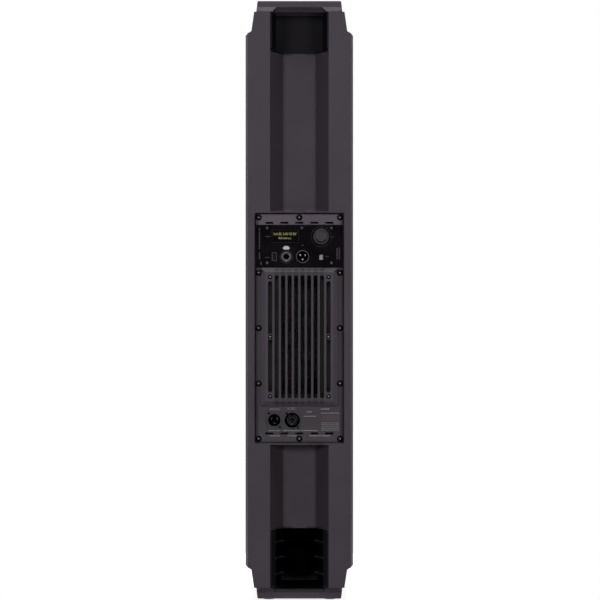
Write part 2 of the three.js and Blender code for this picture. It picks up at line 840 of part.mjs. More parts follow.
function frontBaffle() {
  const plate = prismY(frontOutline(0, 0), baffleFace, baffleBack);
  const wooferHoles = wooferHeights.flatMap((z) => [
    rodY(wooferBodyRadius + seatGap, baffleFace - overrun, baffleBack + overrun, 0, z, roundSides),
    rodY(
      wooferFlangeRadius + seatGap,
      baffleFace - overrun,
      baffleFace + wooferFlangeThickness + seatGap,
      0,
      z,
      roundSides,
    ),
  ]);
  const hornHole = centredBlock(
    hornMouthWidth + 2 * hornWall + 2 * seatGap,
    [baffleFace - overrun, baffleBack + overrun],
    hornMouthHeight + 2 * hornWall + 2 * seatGap,
    0,
    waveguideHeight,
  );
  const hornRebate = centredBlock(
    hornFlangeWidth + 2 * seatGap,
    [baffleFace - overrun, baffleFace + hornFlangeThickness + seatGap],
    hornFlangeHeight + 2 * seatGap,
    0,
    waveguideHeight,
  );
  return cut(plate, [...wooferHoles, hornHole, hornRebate]);
}
addPiece(loudspeaker, "front_baffle", frontBaffle(), blackMoulding);

// The pressed grille's plan: side flanges, bevels and the flat front, drawn in by the sheet.
function grillePlan(inset, rear) {
  const half = cabinetWidth / 2 - grilleInset - inset;
  return mirrored([
    [half, rear],
    [half, baffleFace - grilleSideHeight + inset / 2],
    [half - grilleBevelWidth + inset / 2, grilleFace + inset],
  ]);
}

// Hexagonal perforations in staggered rows, wherever a whole one clears the border.
function perforations() {
  const across = 2 * perforationRadius * Math.cos(Math.PI / 6) + perforationBridge;
  const rise = (across * Math.sqrt(3)) / 2;
  const flat = 2 * (cabinetWidth / 2 - grilleInset - grilleBevelWidth);
  const low = shellBottom + grilleBorder + perforationRadius;
  const rows = Math.floor((shellTop - shellBottom - 2 * (grilleBorder + perforationRadius)) / rise);
  const first = low + (shellTop - shellBottom - 2 * (grilleBorder + perforationRadius) - rows * rise) / 2;
  const holes = [];
  for (let row = 0; row <= rows; row++) {
    const z = first + row * rise;
    const tight = Math.min(halfWidthAt(z - perforationRadius), halfWidthAt(z + perforationRadius));
    const limit = Math.min(flat / 2, tight - grilleBorder) - perforationRadius;
    const count = Math.floor((2 * limit) / across);
    const even = count - ((count + row) % 2);
    for (let i = 0; i <= even; i++) {
      const x = (i - even / 2) * across;
      holes.push(rodY(perforationRadius, grilleFace - overrun, baffleFace - 2 * seatGap, x, z, screwSides));
    }
  }
  return holes;
}

function frontGrille() {
  const outer = prismZ(grillePlan(0, baffleFace - seatGap), shellBottom, shellTop).intersect(
    prismY(frontOutline(grilleInset, grilleInset), grilleFace, baffleFace - seatGap),
  );
  const edge = grilleInset + grilleSheet;
  const inner = prismZ(grillePlan(grilleSheet, baffleFace + overrun), shellBottom, shellTop).intersect(
    prismY(frontOutline(edge, edge), grilleFace, baffleFace + overrun),
  );
  return cut(outer.subtract(inner), perforations());
}
addPiece(loudspeaker, "front_grille", frontGrille(), grilleSteel);

// Woofer pieces share a frame whose y is 0 at the flange's face and grows towards the magnet.
function wooferBasket() {
  const foot = basketDepth + basketFootThickness;
  const wallFront = wooferFlangeThickness;
  const spiderSeat = spiderDepth + spiderWall + seatGap;
  const profile = [
    [wooferFlangeRadius, 0],
    [wooferFlangeRadius, wooferFlangeThickness],
    [wooferBodyRadius, wooferFlangeThickness],
    [basketFootRadius, foot],
    [spiderRadius - spiderLedgeWidth, foot],
    [spiderRadius - spiderLedgeWidth, spiderSeat],
    [basketFootRadius - basketWall, spiderSeat],
    [basketInnerRadius, wallFront],
    [basketInnerRadius, surroundLedgeDepth],
    [surroundLedgeRadius, surroundLedgeDepth],
    [surroundLedgeRadius, 0],
  ];
  const windowFront = wooferFlangeThickness + basketWall;
  const windowRear = spiderDepth - spiderLedgeWidth;
  const sector = (Math.PI * basketWindowShare) / basketWindowCount;
  const windows = Array.from({ length: basketWindowCount }, (_, i) => {
    const middle = ((2 * i + 1) * Math.PI) / basketWindowCount;
    const reach = wooferFlangeRadius;
    const corner = (angle) => [reach * Math.cos(angle), reach * Math.sin(angle)];
    const wedge = outline([[0, 0], corner(middle - sector), corner(middle + sector)]);
    return prismY(wedge, windowFront, windowRear);
  });
  return cut(turnedY(closed(profile)), windows);
}

function wooferCone() {
  const outer = coilRadius + coilWall;
  const neckFront = coneNeckDepth - coneWall;
  const profile = [
    [0, neckFront - dustCapRise],
    [outer * dustCapShoulderShare, neckFront - dustCapRise * dustCapShoulderShare],
    [outer, neckFront],
    [coneEdgeRadius, coneEdgeDepth],
    [coneEdgeRadius, coneEdgeDepth + coneWall],
    [outer, coneNeckDepth + coneWall],
    [outer, coilEndDepth],
    [coilRadius, coilEndDepth],
    [coilRadius, coneNeckDepth],
    [0, coneNeckDepth],
  ];
  return turnedY(profile);
}

// The rubber half roll between the cone's edge and the basket's ledge.
function wooferSurround() {
  const inner = coneEdgeRadius + seatGap;
  const outer = basketInnerRadius;
  const middle = (inner + outer) / 2;
  const roll = (outer - inner) / 2;
  const rest = surroundLedgeDepth - seatGap;
  const arc = (radius) =>
    Array.from({ length: surroundRollSides + 1 }, (_, i) => {
      const angle = (Math.PI * i) / surroundRollSides;
      return [middle - radius * Math.cos(angle), rest - surroundWall - radius * Math.sin(angle)];
    });
  const profile = [
    ...arc(roll),
    [outer + surroundLipWidth, rest - surroundWall],
    [outer + surroundLipWidth, rest],
    ...arc(roll - surroundWall).map(([radius, depth]) => [radius, depth + surroundWall]).reverse(),
    [inner, rest],
  ];
  return turnedY(closed(profile));
}

// The corrugated cloth spider that centres the voice coil.
function wooferSpider() {
  const inner = coilRadius + coilWall + seatGap;
  const steps = 2 * spiderWaves;
  const wave = (lift) =>
    Array.from({ length: steps + 1 }, (_, i) => {
      const swing = i === 0 || i === steps ? 0 : (i % 2 ? 1 : -1) * (spiderWave / 2);
      return [inner + ((spiderRadius - inner) * i) / steps, spiderDepth + lift - swing];
    });
  return turnedY(closed([...wave(0), ...wave(spiderWall).reverse()]), roundSides);
}

function wooferMagnet() {
  const front = basketDepth + basketFootThickness + seatGap;
  const rear = front + magnetThickness;
  const slotInner = coilRadius - coilGap;
  const slotOuter = coilRadius + coilWall + coilGap;
  return turnedY([
    [0, front],
    [slotInner, front],
    [slotInner, rear - magnetSlotFloor],
    [slotOuter, rear - magnetSlotFloor],
    [slotOuter, front],
    [magnetRadius, front],
    [magnetRadius, rear - magnetChamfer],
    [magnetRadius - magnetChamfer, rear],
    [0, rear],
  ]);
}

wooferHeights.forEach((height, i) => {
  const woofer = new THREE.Group();
  woofer.position.set(0, baffleFace, height);
  const name = `woofer_${i + 1}`;
  addPiece(woofer, `${name}_basket`, wooferBasket(), basketSteel);
  addPiece(woofer, `${name}_magnet`, wooferMagnet(), magnetGrey);
  addPiece(woofer, `${name}_cone`, wooferCone(), coneBlack);
  addPiece(woofer, `${name}_surround`, wooferSurround(), blackRubber);
  addPiece(woofer, `${name}_spider`, wooferSpider(), spiderCloth);
  loudspeaker.add(woofer);
});

// Half the horn's width at a depth behind its mouth, following an exponential flare.
const hornHalfWidth = (depth) =>
  (hornMouthWidth / 2) * (hornSlotWidth / hornMouthWidth) ** (depth / hornDepth);

function waveguideHorn() {
  const flare = (inset, start) =>
    Array.from({ length: hornSteps + 1 }, (_, i) => {
      const depth = (hornDepth * i) / hornSteps;
      return [hornHalfWidth(depth) + inset, depth + start];
    });
  const half = hornMouthHeight / 2;
  const bell = prismZ(mirrored(flare(hornWall, 0)), -half - hornWall, half + hornWall);
  const flange = centredBlock(hornFlangeWidth, [0, hornFlangeThickness], hornFlangeHeight);
  const backPlate = centredBlock(
    2 * driverRadius,
    [hornDepth, hornDepth + hornBackThickness],
    hornMouthHeight + 2 * hornWall,
  );
  const air = prismZ(mirrored([[hornMouthWidth / 2, -overrun], ...flare(0, 0)]), -half, half);
  const throats = [-1, 1].map((side) =>
    rodY(hornThroatRadius, 0, hornDepth + hornBackThickness + overrun, 0, (side * driverPitch) / 2),
  );
  return cut(join([bell, flange, backPlate]), [air, ...throats]);
}

function compressionDriver() {
  const front = hornDepth + hornBackThickness + seatGap;
  const body = front + driverFlangeThickness;
  const cap = body + driverBodyDepth;
  return turnedY([
    [0, front + driverFlangeThickness + driverCapDepth],
    [hornThroatRadius, front + driverFlangeThickness],
    [hornThroatRadius, front],
    [driverRadius, front],
    [driverRadius, body],
    [driverBodyRadius, body],
    [driverBodyRadius, cap],
    [driverCapRadius, cap],
    [driverCapRadius, cap + driverCapDepth],
    [0, cap + driverCapDepth],
  ]);
}

const highFrequency = new THREE.Group();
highFrequency.position.set(0, baffleFace, waveguideHeight);
addPiece(highFrequency, "hf_waveguide", waveguideHorn(), blackMoulding);
addPiece(highFrequency, "hf_driver_lower", compressionDriver(), magnetGrey, 0, 0, -driverPitch / 2);
addPiece(highFrequency, "hf_driver_upper", compressionDriver(), magnetGrey, 0, 0, driverPitch / 2);
loudspeaker.add(highFrequency);

// The amplifier module has its own frame: y is 0 at the panel's face and z is 0 at its middle.
const amplifier = new THREE.Group();
amplifier.position.set(0, panelFace, panelCentreHeight);
loudspeaker.add(amplifier);

const fasciaZ = panelHeight / 2 - fasciaTopDrop - fasciaHeight / 2;
const fasciaFace = fasciaThickness + seatGap;
const connectorZ = fasciaZ - connectorRowDrop;
const ventZ = fasciaZ - fasciaHeight / 2 - seatGap - ventBaseHeight / 2;
const latchZ = connectorZ + comboRadius + 2 * seatGap + latchHeight / 2;
const knobRise = fasciaZ + knobZ;

// The latch is widest at its shoulders, between its foot beside the socket and its narrow tip.
function latchPrism(gap, front, rear) {
  const shape = mirrored([
    [latchFootWidth / 2 + gap, -latchHeight / 2 - gap],
    [latchWidth / 2 + gap, latchHeight * (latchShoulderShare - 1 / 2)],
    [latchTipWidth / 2 + gap, latchHeight / 2 + gap],
  ]);
  return prismY(shape, front, rear).translate(comboX, 0, latchZ);
}

// Every opening for a control or socket: cut alike through the fascia and the panel behind it.
function controlOpenings(front, rear) {
  const slot = (width, height, x, z) =>
    centredBlock(width + 2 * seatGap, [front, rear], height + 2 * seatGap, x, z);
  return [
    rodY(bushRadius + seatGap, front, rear, knobX, fasciaZ + knobZ),
    rodY(comboRadius + seatGap, front, rear, comboX, connectorZ, roundSides),
    rodY(linkRadius + seatGap, front, rear, linkX, connectorZ, roundSides),
    slot(displayWidth, displayHeight, displayX, fasciaZ + displayZ),
    latchPrism(seatGap, front, rear),
    slot(serviceWidth, serviceHeight, serviceX, connectorZ),
    centredBlock(liftSlotWidth, [front, rear], liftSlotHeight, liftX, connectorZ),
  ];
}

const panelScrewX = panelWidth / 2 - panelScrewEdge;
const panelScrewTop = panelHeight / 2 - panelScrewEnd;
const panelScrewPitch = (2 * panelScrewTop) / (panelScrewRows - 1);
const panelScrewHeights = Array.from(
  { length: panelScrewRows },
  (_, i) => i * panelScrewPitch - panelScrewTop,
);
const panelScrews = [
  ...panelScrewHeights.flatMap((z) => [
    [-panelScrewX, z],
    [panelScrewX, z],
  ]),
  [0, -panelScrewTop],
  [0, panelScrewTop],
];

function ampPanel() {
  const face = roundedRectangle(0, 0, panelWidth, panelHeight, panelCorner);
  const plate = prismY(face, panelBack, 0, plainCornerSides);
  const louvres = [-1, 1].flatMap((end) =>
    Array.from({ length: louvreCount }, (_, i) =>
      centredBlock(
        louvreWidth,
        [panelBack - overrun, overrun],
        louvreHeight,
        (i - (louvreCount - 1) / 2) * louvrePitch,
        end * (panelHeight / 2 - louvreEnd),
      ),
    ),
  );
  const ventOpening = centredBlock(
    finBlockWidth + 2 * seatGap,
    [panelBack - overrun, overrun],
    finBlockHeight + 2 * seatGap,
    0,
    ventZ,
  );
  const mainsHoles = [mainsInletX, mainsOutletX].map((x) =>
    rodY(mainsBodyRadius + seatGap, panelBack - overrun, overrun, x, -mainsDrop, roundSides),
  );
  const openings = controlOpenings(panelBack - overrun, overrun);
  return cut(plate, [...louvres, ventOpening, ...mainsHoles, ...openings]);
}

const finBlockWidth = (ventSlotCount - 1) * ventSlotPitch + ventSlotWidth + 2 * finMargin;
const finBlockHeight = ventSlotLength + 2 * finMargin;

function stadium(x, z, width, length) {
  return roundedRectangle(x, z, width, length, width / 2);
}

// The cast cover: a raised block whose sides lean in above an upright foot, cut through by upright
// slots into fins.
function ventCover() {
  const front = mirrored([
    [ventBaseWidth / 2, seatGap],
    [ventBaseWidth / 2, ventFootHeight],
    [ventTopWidth / 2, ventRise],
  ]);
  const side = outline([
    [seatGap, ventZ - ventBaseHeight / 2],
    [ventFootHeight, ventZ - ventBaseHeight / 2],
    [ventRise, ventZ - ventTopHeight / 2],
    [ventRise, ventZ + ventTopHeight / 2],
    [ventFootHeight, ventZ + ventBaseHeight / 2],
    [seatGap, ventZ + ventBaseHeight / 2],
  ]);
  const raised = prismZ(front, ventZ - ventBaseHeight / 2, ventZ + ventBaseHeight / 2).intersect(
    prismX(side, -ventBaseWidth / 2, ventBaseWidth / 2),
  );
  const fins = centredBlock(finBlockWidth, [-finDepth, ventRise / 2], finBlockHeight, 0, ventZ);
  const slots = Array.from({ length: ventSlotCount }, (_, i) => {
    const outermost = i === 0 || i === ventSlotCount - 1;
    const x = (i - (ventSlotCount - 1) / 2) * ventSlotPitch;
    const shape = stadium(x, ventZ, ventSlotWidth, outermost ? ventOuterSlotLength : ventSlotLength);
    return prismY(shape, -finDepth - overrun, ventRise + overrun, ventSlotSides);
  });
  const leadFoot = ventFootHeight + ((ventRise - ventFootHeight) * ventLeadEnd) / ventDraft;
  const leadSide = outline([
    [ventRise - ventLeadDepth, (ventSlotLength - ventSlotWidth) / 2],
    [ventRise - ventLeadDepth, ventTopHeight / 2],
    [leadFoot - ventLeadDepth, ventBaseHeight / 2 - ventLeadEnd],
    [ventRise + overrun, ventBaseHeight / 2 - ventLeadEnd],
    [ventRise + overrun, (ventSlotLength - ventSlotWidth) / 2],
  ]);
  const leads = Array.from({ length: ventSlotCount - 2 }, (_, i) => {
    const x = (i + 1 - (ventSlotCount - 1) / 2) * ventSlotPitch;
    const upper = prismX(leadSide, x - ventSlotWidth / 2, x + ventSlotWidth / 2);
    return upper.add(upper.mirror([0, 0, 1])).translate(0, 0, ventZ);
  });
  const scallops = panelScrews.map(([x, z]) =>
    rodY(panelScrewRadius + scallopClearance, -overrun, ventRise + overrun, x, z, holeSides),
  );
  const screwX = ((ventSlotCount - 1) / 2) * ventSlotPitch;
  const places = [-1, 1].flatMap((column) =>
    [-1, 0, 1].map((row) => [column * screwX, ventZ + row * ventScrewReach]),
  );
  const bosses = places.map(([x, z]) => rodY(ventBossRadius, -finDepth, ventRise, x, z));
  const counterbores = places.map(([x, z]) =>
    rodY(ventCounterboreRadius, ventRise - ventCounterboreDepth, ventRise + overrun, x, z),
  );
  const finned = cut(raised.add(fins), [...slots, ...leads, ...scallops]);
  return cut(join([finned, ...bosses]), counterbores);
}

function controlFascia() {
  const plate = centredBlock(panelWidth, [seatGap, fasciaFace], fasciaHeight, 0, fasciaZ);
  const ringFace = fasciaFace + knobRingHeight;
  const ring = rodY(knobRingRadius, fasciaThickness / 2, ringFace, knobX, knobRise, fineSides).subtract(
    rodY(knobRingRadius - knobRingWidth, 0, ringFace + overrun, knobX, knobRise, fineSides),
  );
  return cut(plate.add(ring), controlOpenings(-overrun, fasciaFace + overrun));
}

addPiece(amplifier, "amp_panel", ampPanel(), paintedPanel);
addPiece(amplifier, "vent_cover", ventCover(), paintedPanel);
addPiece(amplifier, "control_fascia", controlFascia(), glossBlack);

function panelGasket() {
  const outer = prismY(
    roundedRectangle(0, 0, panelWidth - 2 * seatGap, panelHeight - 2 * seatGap, panelCorner),
    panelBack - seatGap - gasketThickness,
    panelBack - seatGap,
    plainCornerSides,
  );
  const hole = centredBlock(
    panelWidth - 2 * gasketWidth,
    [panelBack - gasketThickness - overrun, overrun],
    panelHeight - 2 * gasketWidth,
  );
  return outer.subtract(hole);
}
addPiece(amplifier, "panel_gasket", panelGasket(), foamSeal);

// Display: a dark lens in the fascia, over the display module.
const displayRise = fasciaZ + displayZ;
addPiece(
  amplifier,
  "display_lens",
  centredBlock(
    displayWidth,
    [fasciaFace - lensThickness, fasciaFace],
    displayHeight,
    displayX,
    displayRise,
  ),
  darkGlass,
);
function displayModule() {
  const front = fasciaFace - lensThickness - seatGap;
  const glass = centredBlock(
    displayWidth - displayBorder,
    [panelBack - seatGap - boardThickness, front],
    displayHeight - displayBorder,
    displayX,
    displayRise,
  );
  const carrier = centredBlock(
    displayWidth + 2 * displayBorder,
    [panelBack - seatGap - displayModuleThickness, panelBack - seatGap],
    displayHeight + displayBorder,
    displayX,
    displayRise,
  );
  return glass.add(carrier);
}
addPiece(amplifier, "display_module", displayModule(), plasticBlack);

// Rotary encoder: body behind the panel, a shaft that pushes in, and the knob that turns on it.
const encoderFront = panelBack - seatGap;
const encoderBack = encoderFront - encoderBodyDepth;
const shaftBack = encoderBack + encoderFloor + pushTravel + seatGap;
const knobSkirt = fasciaFace + knobLift;
const knobBoreEnd = knobSkirt + knobBoreDepth;

function encoderBody() {
  const body = centredBlock(encoderBodySize, [encoderBack, encoderFront], encoderBodySize, knobX, knobRise);
  const bush = rodY(bushRadius, encoderFront - seatGap, fasciaFace + bushHeight, knobX, knobRise);
  const boreBack = encoderBack + encoderFloor;
  const bore = rodY(shaftRadius + seatGap, boreBack, fasciaFace + overrun, knobX, knobRise);
  return body.add(bush).subtract(bore);
}
function controlKnob() {
  const top = knobSkirt + knobHeight;
  const groove = knobSkirt + knobSkirtHeight;
  const body = turnedY(
    [
      [0, knobSkirt],
      [knobRadius, knobSkirt],
      [knobRadius, groove],
      [knobRadius - knobGrooveDepth, groove],
      [knobRadius - knobGrooveDepth, groove + knobGrooveWidth],
      [knobRadius, groove + knobGrooveWidth],
      [knobRadius, top - knobEdge],
      [knobRadius - knobEdge, top],
      [0, top],
    ],
    fineSides,
  );
  const bore = rodY(shaftRadius + seatGap, knobSkirt - overrun, knobBoreEnd);
  const flutes = Array.from({ length: knobFluteCount }, (_, i) => {
    const angle = (2 * Math.PI * i) / knobFluteCount;
    const [x, z] = [knobRadius * Math.cos(angle), knobRadius * Math.sin(angle)];
    return rodY(knobFluteRadius, knobSkirt - overrun, top + overrun, x, z, screwSides);
  });
  return cut(body, [bore, ...flutes]);
}
addPiece(amplifier, "encoder_body", encoderBody(), plasticBlack);
addPiece(
  amplifier,
  "encoder_shaft",
  rodY(shaftRadius, shaftBack, knobBoreEnd - seatGap, 0, 0),
  bareSteel,
  knobX,
  0,
  knobRise,
);
addPiece(amplifier, "control_knob", controlKnob(), knobGrey, knobX, 0, knobRise);

// Combined jack and three-pin input socket, and its push latch.
function comboInput() {
  const face = fasciaFace + comboProud;
  const body = rodY(comboRadius, -comboDepth, face, 0, 0, roundSides);
  const jack = rodY(jackRadius, comboFloor - comboDepth, face + overrun, 0, 0);
  const floor = face - comboGrooveDepth;
  const groove = rodY(comboGrooveRadius, floor, face + overrun, 0, 0, roundSides).subtract(
    rodY(comboGrooveRadius - comboGrooveWidth, floor - overrun, face + overrun, 0, 0, roundSides),
  );
  const contacts = Array.from({ length: pinCount }, (_, i) => {
    const angle = Math.PI / 2 + (2 * Math.PI * (i + 1 / 2)) / pinCount;
    const [x, z] = [contactCircle * Math.cos(angle), contactCircle * Math.sin(angle)];
    return rodY(contactRadius, floor, face + overrun, x, z, screwSides);
  });
  return cut(body, [jack, groove, ...contacts]);
}
addPiece(amplifier, "combo_input", comboInput(), plasticBlack, comboX, 0, connectorZ);
addPiece(
  amplifier,
  "combo_latch",
  latchPrism(0, -latchDepth, fasciaFace + latchProud),
  paleGrey,
);

// Three-pin link output with its pins.
function linkOutput() {
  const face = fasciaFace + linkProud;
  const bore = rodY(linkBoreRadius, face - linkBoreDepth, face + overrun, 0, 0, roundSides);
  const pins = Array.from({ length: pinCount }, (_, i) => {
    const angle = -Math.PI / 2 + (2 * Math.PI * i) / pinCount;
    const [x, z] = [pinCircle * Math.cos(angle), pinCircle * Math.sin(angle)];
    const floor = face - linkBoreDepth;
    return rodY(pinRadius, floor - seatGap, floor + pinLength, x, z, screwSides);
  });
  return join([rodY(linkRadius, -linkDepth, face, 0, 0, roundSides).subtract(bore), ...pins]);
}
addPiece(amplifier, "link_output", linkOutput(), plasticBlack, linkX, 0, connectorZ);

function servicePort() {
  const face = fasciaFace + serviceProud;
  const shell = centredBlock(serviceWidth, [-serviceDepth, face], serviceHeight);
  const mouth = centredBlock(
    serviceWidth - 2 * serviceWall,
    [face - serviceDepth + 2 * serviceWall, face + overrun],
    serviceHeight - 2 * serviceWall,
  );
  const tongue = block(
    [serviceWall / 2, serviceWall / 2 + serviceTongue],
    [-serviceDepth, face - 2 * serviceWall],
    [-serviceHeight / 2 + 2 * serviceWall, serviceHeight / 2 - 2 * serviceWall],
  );
  return shell.subtract(mouth).add(tongue);
}
addPiece(amplifier, "service_port", servicePort(), bareSteel, serviceX, 0, connectorZ);

// Ground lift switch: body behind the panel and a slider that travels in its slot.
const liftTravel = liftSlotHeight - liftSliderHeight - 2 * seatGap;
function liftSwitchBody() {
  const body = centredBlock(liftBodyWidth, [encoderFront - liftBodyDepth, encoderFront], liftBodyHeight);
  const pocket = centredBlock(
    liftSlotWidth,
    [encoderFront - liftPocketDepth, encoderFront + overrun],
    liftSlotHeight,
  );
  return body.subtract(pocket);
}
addPiece(amplifier, "lift_switch", liftSwitchBody(), plasticBlack, liftX, 0, connectorZ);
addPiece(
  amplifier,
  "lift_slider",
  centredBlock(
    liftSliderWidth,
    [encoderFront - liftPocketDepth + seatGap, fasciaFace + liftSliderProud],
    liftSliderHeight,
  ),
  paleGrey,
  liftX,
  0,
  connectorZ - liftTravel / 2,
);

// The flange and round body that the mains inlet and outlet share.
function mainsFlange(bore) {
  const plate = roundedRectangle(0, 0, flangePlateWidth, flangePlateHeight, flangePlateCorner);
  const face = seatGap + flangePlateThickness;
  const ring = rodY(mainsRingRadius, seatGap, face + mainsRingHeight, 0, 0, roundSides);
  const body = rodY(mainsBodyRadius, -mainsDepth, face, 0, 0, roundSides);
  const hole = rodY(bore, face - mainsBoreDepth, face + overrun, 0, 0, roundSides);
  return join([prismY(plate, seatGap, face, 2), ring, body]).subtract(hole);
}
function mainsInlet() {
  const floor = seatGap + flangePlateThickness - mainsBoreDepth;
  const blades = Array.from({ length: pinCount }, (_, i) => {
    const angle = -Math.PI / 2 + (2 * Math.PI * i) / pinCount;
    const blade = new THREE.BoxGeometry(bladeHeight, bladeLength + seatGap, bladeWidth);
    blade.translate(0, floor + (bladeLength - seatGap) / 2, bladeCircle).rotateY(Math.PI / 2 - angle);
    return toSolid(blade);
  });
  return join([mainsFlange(mainsBoreRadius), ...blades]);
}
function mainsOutlet() {
  const face = seatGap + flangePlateThickness;
  const floor = face - mainsBoreDepth;
  const hub = rodY(outletHubRadius, floor - seatGap, face);
  const bore = rodY(outletHubBore, floor, face + overrun, 0, 0, screwSides);
  return mainsFlange(outletBoreRadius).add(hub.subtract(bore));
}
addPiece(amplifier, "mains_inlet", mainsInlet(), plasticBlack, mainsInletX, 0, -mainsDrop);
addPiece(amplifier, "mains_outlet", mainsOutlet(), plasticBlack, mainsOutletX, 0, -mainsDrop);

// Folded steel box that closes the module off from the drivers' air.
const boxWidth = openingWidth - 2 * backBoxClearance;
const boxHeight = openingHeight - 2 * backBoxClearance;
const boxFloor = encoderFront - backBoxDepth;
function backBox() {
  const outer = centredBlock(boxWidth, [boxFloor, encoderFront], boxHeight);
  const inner = centredBlock(
    boxWidth - 2 * backBoxWall,
    [boxFloor + backBoxWall, encoderFront + overrun],
    boxHeight - 2 * backBoxWall,
  );
  return outer.subtract(inner);
}
addPiece(amplifier, "amp_back_box", backBox(), galvanised);

addPiece(
  amplifier,
  "control_board",
  centredBlock(
    controlBoardWidth,
    [-comboDepth - seatGap - boardThickness, -comboDepth - seatGap],
    controlBoardHeight,
    0,
    fasciaZ,
  ),
  boardGreen,
);

// Power board on standoffs, with its reservoir capacitors and output inductors.
const powerBoardBack = boxFloor + backBoxWall + seatGap + standoffLength;
const powerBoardFront = powerBoardBack + boardThickness;
const powerBoardWidth = boxWidth - 2 * backBoxWall - 2 * backBoxClearance;
const powerBoardHeight = boxHeight - 2 * backBoxWall - 2 * powerBoardEnd;
function powerBoard() {
  const plate = centredBlock(powerBoardWidth, [powerBoardBack, powerBoardFront], powerBoardHeight);
  const corner = [powerBoardWidth / 2 - standoffInset, powerBoardHeight / 2 - standoffInset];
  const foot = powerBoardBack - standoffLength;
  const standoff = (x, z) => rodY(standoffRadius, foot, powerBoardBack + seatGap, x, z, screwSides);
  const standoffs = [-1, 1].flatMap((x) => [-1, 1].map((z) => standoff(x * corner[0], z * corner[1])));
  const capacitors = Array.from({ length: capacitorCount }, (_, i) =>
    rodY(
      capacitorRadius,
      powerBoardFront - seatGap,
      powerBoardFront + capacitorLength,
      ((i % 2) - 1 / 2) * capacitorPitch,
      -capacitorDrop - (i - 1) * capacitorPitch,
    ),
  );
  const inductors = [-1, 1].map((side) =>
    rodY(
      inductorRadius,
      powerBoardFront - seatGap,
      powerBoardFront + inductorLength,
      side * (inductorRadius + boardThickness),
      inductorRise,
    ),
  );
  return join([plate, ...standoffs, ...capacitors, ...inductors]);
}
addPiece(amplifier, "power_board", powerBoard(), boardGreen);
addPiece(
  amplifier,
  "power_transformer",
  centredBlock(
    transformerWidth,
    [powerBoardFront + seatGap, powerBoardFront + seatGap + transformerDepth],
    transformerHeight,
    -powerBoardWidth / 2 + transformerWidth / 2 + standoffInset,
    -powerBoardHeight / 2 + transformerRise + transformerHeight / 2,
  ),
  magnetGrey,
);

// Heat spreader behind the fins, open in the middle so that air passes through the slots.
function heatSpreader() {
  const rear = -finDepth - seatGap;
  const plate = centredBlock(
    finBlockWidth - 2 * seatGap,
    [rear - spreaderThickness, rear],
    finBlockHeight,
    0,
    ventZ,
  );
  const window = centredBlock(
    spreaderWindowWidth,
    [rear - spreaderThickness - overrun, rear + overrun],
    finBlockHeight - 2 * spreaderMargin,
    0,
    ventZ,
  );
  return plate.subtract(window);
}
addPiece(amplifier, "heat_spreader", heatSpreader(), basketSteel);

export default loudspeaker;
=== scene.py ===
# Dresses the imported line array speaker: fine meshes for the round and perforated pieces, rounded edges
# and procedural finishes for the rest, and the studio that the photograph was taken in.
# The frame's metres and axes are kept. Lengths are written in millimetres and scaled by MM.
import json
from math import cos, hypot, pi, radians, sin, sqrt

import bmesh
import bpy
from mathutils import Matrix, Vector
from mathutils.geometry import tessellate_polygon
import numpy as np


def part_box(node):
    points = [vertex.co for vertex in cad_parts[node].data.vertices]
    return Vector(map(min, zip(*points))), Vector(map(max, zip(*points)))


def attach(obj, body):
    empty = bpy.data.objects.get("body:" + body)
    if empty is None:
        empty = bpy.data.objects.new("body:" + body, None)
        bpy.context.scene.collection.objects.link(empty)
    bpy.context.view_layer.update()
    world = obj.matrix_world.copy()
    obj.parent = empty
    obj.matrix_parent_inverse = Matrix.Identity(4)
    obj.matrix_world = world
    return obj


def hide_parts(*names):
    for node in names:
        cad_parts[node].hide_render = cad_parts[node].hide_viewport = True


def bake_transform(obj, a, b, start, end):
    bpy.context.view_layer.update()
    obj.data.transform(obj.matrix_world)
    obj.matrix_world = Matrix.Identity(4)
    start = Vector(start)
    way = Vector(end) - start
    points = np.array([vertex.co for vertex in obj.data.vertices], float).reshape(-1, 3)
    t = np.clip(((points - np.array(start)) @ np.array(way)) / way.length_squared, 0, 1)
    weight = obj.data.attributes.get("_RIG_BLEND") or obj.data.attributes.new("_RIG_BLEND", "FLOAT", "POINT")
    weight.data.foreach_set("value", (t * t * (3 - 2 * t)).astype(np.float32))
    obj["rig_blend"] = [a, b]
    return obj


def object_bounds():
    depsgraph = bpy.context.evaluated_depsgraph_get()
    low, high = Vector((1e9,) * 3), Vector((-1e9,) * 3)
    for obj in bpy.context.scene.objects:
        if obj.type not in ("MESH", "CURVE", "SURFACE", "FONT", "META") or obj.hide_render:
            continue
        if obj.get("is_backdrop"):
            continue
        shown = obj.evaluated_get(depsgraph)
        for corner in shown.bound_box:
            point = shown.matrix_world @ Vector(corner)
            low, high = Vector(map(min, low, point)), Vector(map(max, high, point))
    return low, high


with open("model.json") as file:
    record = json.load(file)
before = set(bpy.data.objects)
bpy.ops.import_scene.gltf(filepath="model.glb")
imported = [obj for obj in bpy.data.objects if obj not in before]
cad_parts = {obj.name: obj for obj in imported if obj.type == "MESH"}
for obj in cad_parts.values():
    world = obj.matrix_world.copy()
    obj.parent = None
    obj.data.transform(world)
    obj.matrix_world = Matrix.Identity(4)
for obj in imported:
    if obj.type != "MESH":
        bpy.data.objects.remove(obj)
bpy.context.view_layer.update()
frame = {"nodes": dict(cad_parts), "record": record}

MM = 0.001
TURN = 2 * pi
BODY = "cabinet"

# Sides of round pieces, from the largest down.
FINE = 96
WIDE = 64
ROUND = 48
SMALL = 20
FEW = 12

# Sides of a piece's box: the axis, and its low or high end.
FRONT, REAR, UNDER, TOP = (1, 0), (1, 1), (2, 0), (2, 1)


def extent(node):
    """Lowest and highest corner of a CAD node, in millimetres."""
    low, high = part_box(node)
    return Vector(low) / MM, Vector(high) / MM


def centre(node):
    low, high = extent(node)
    return (low + high) / 2


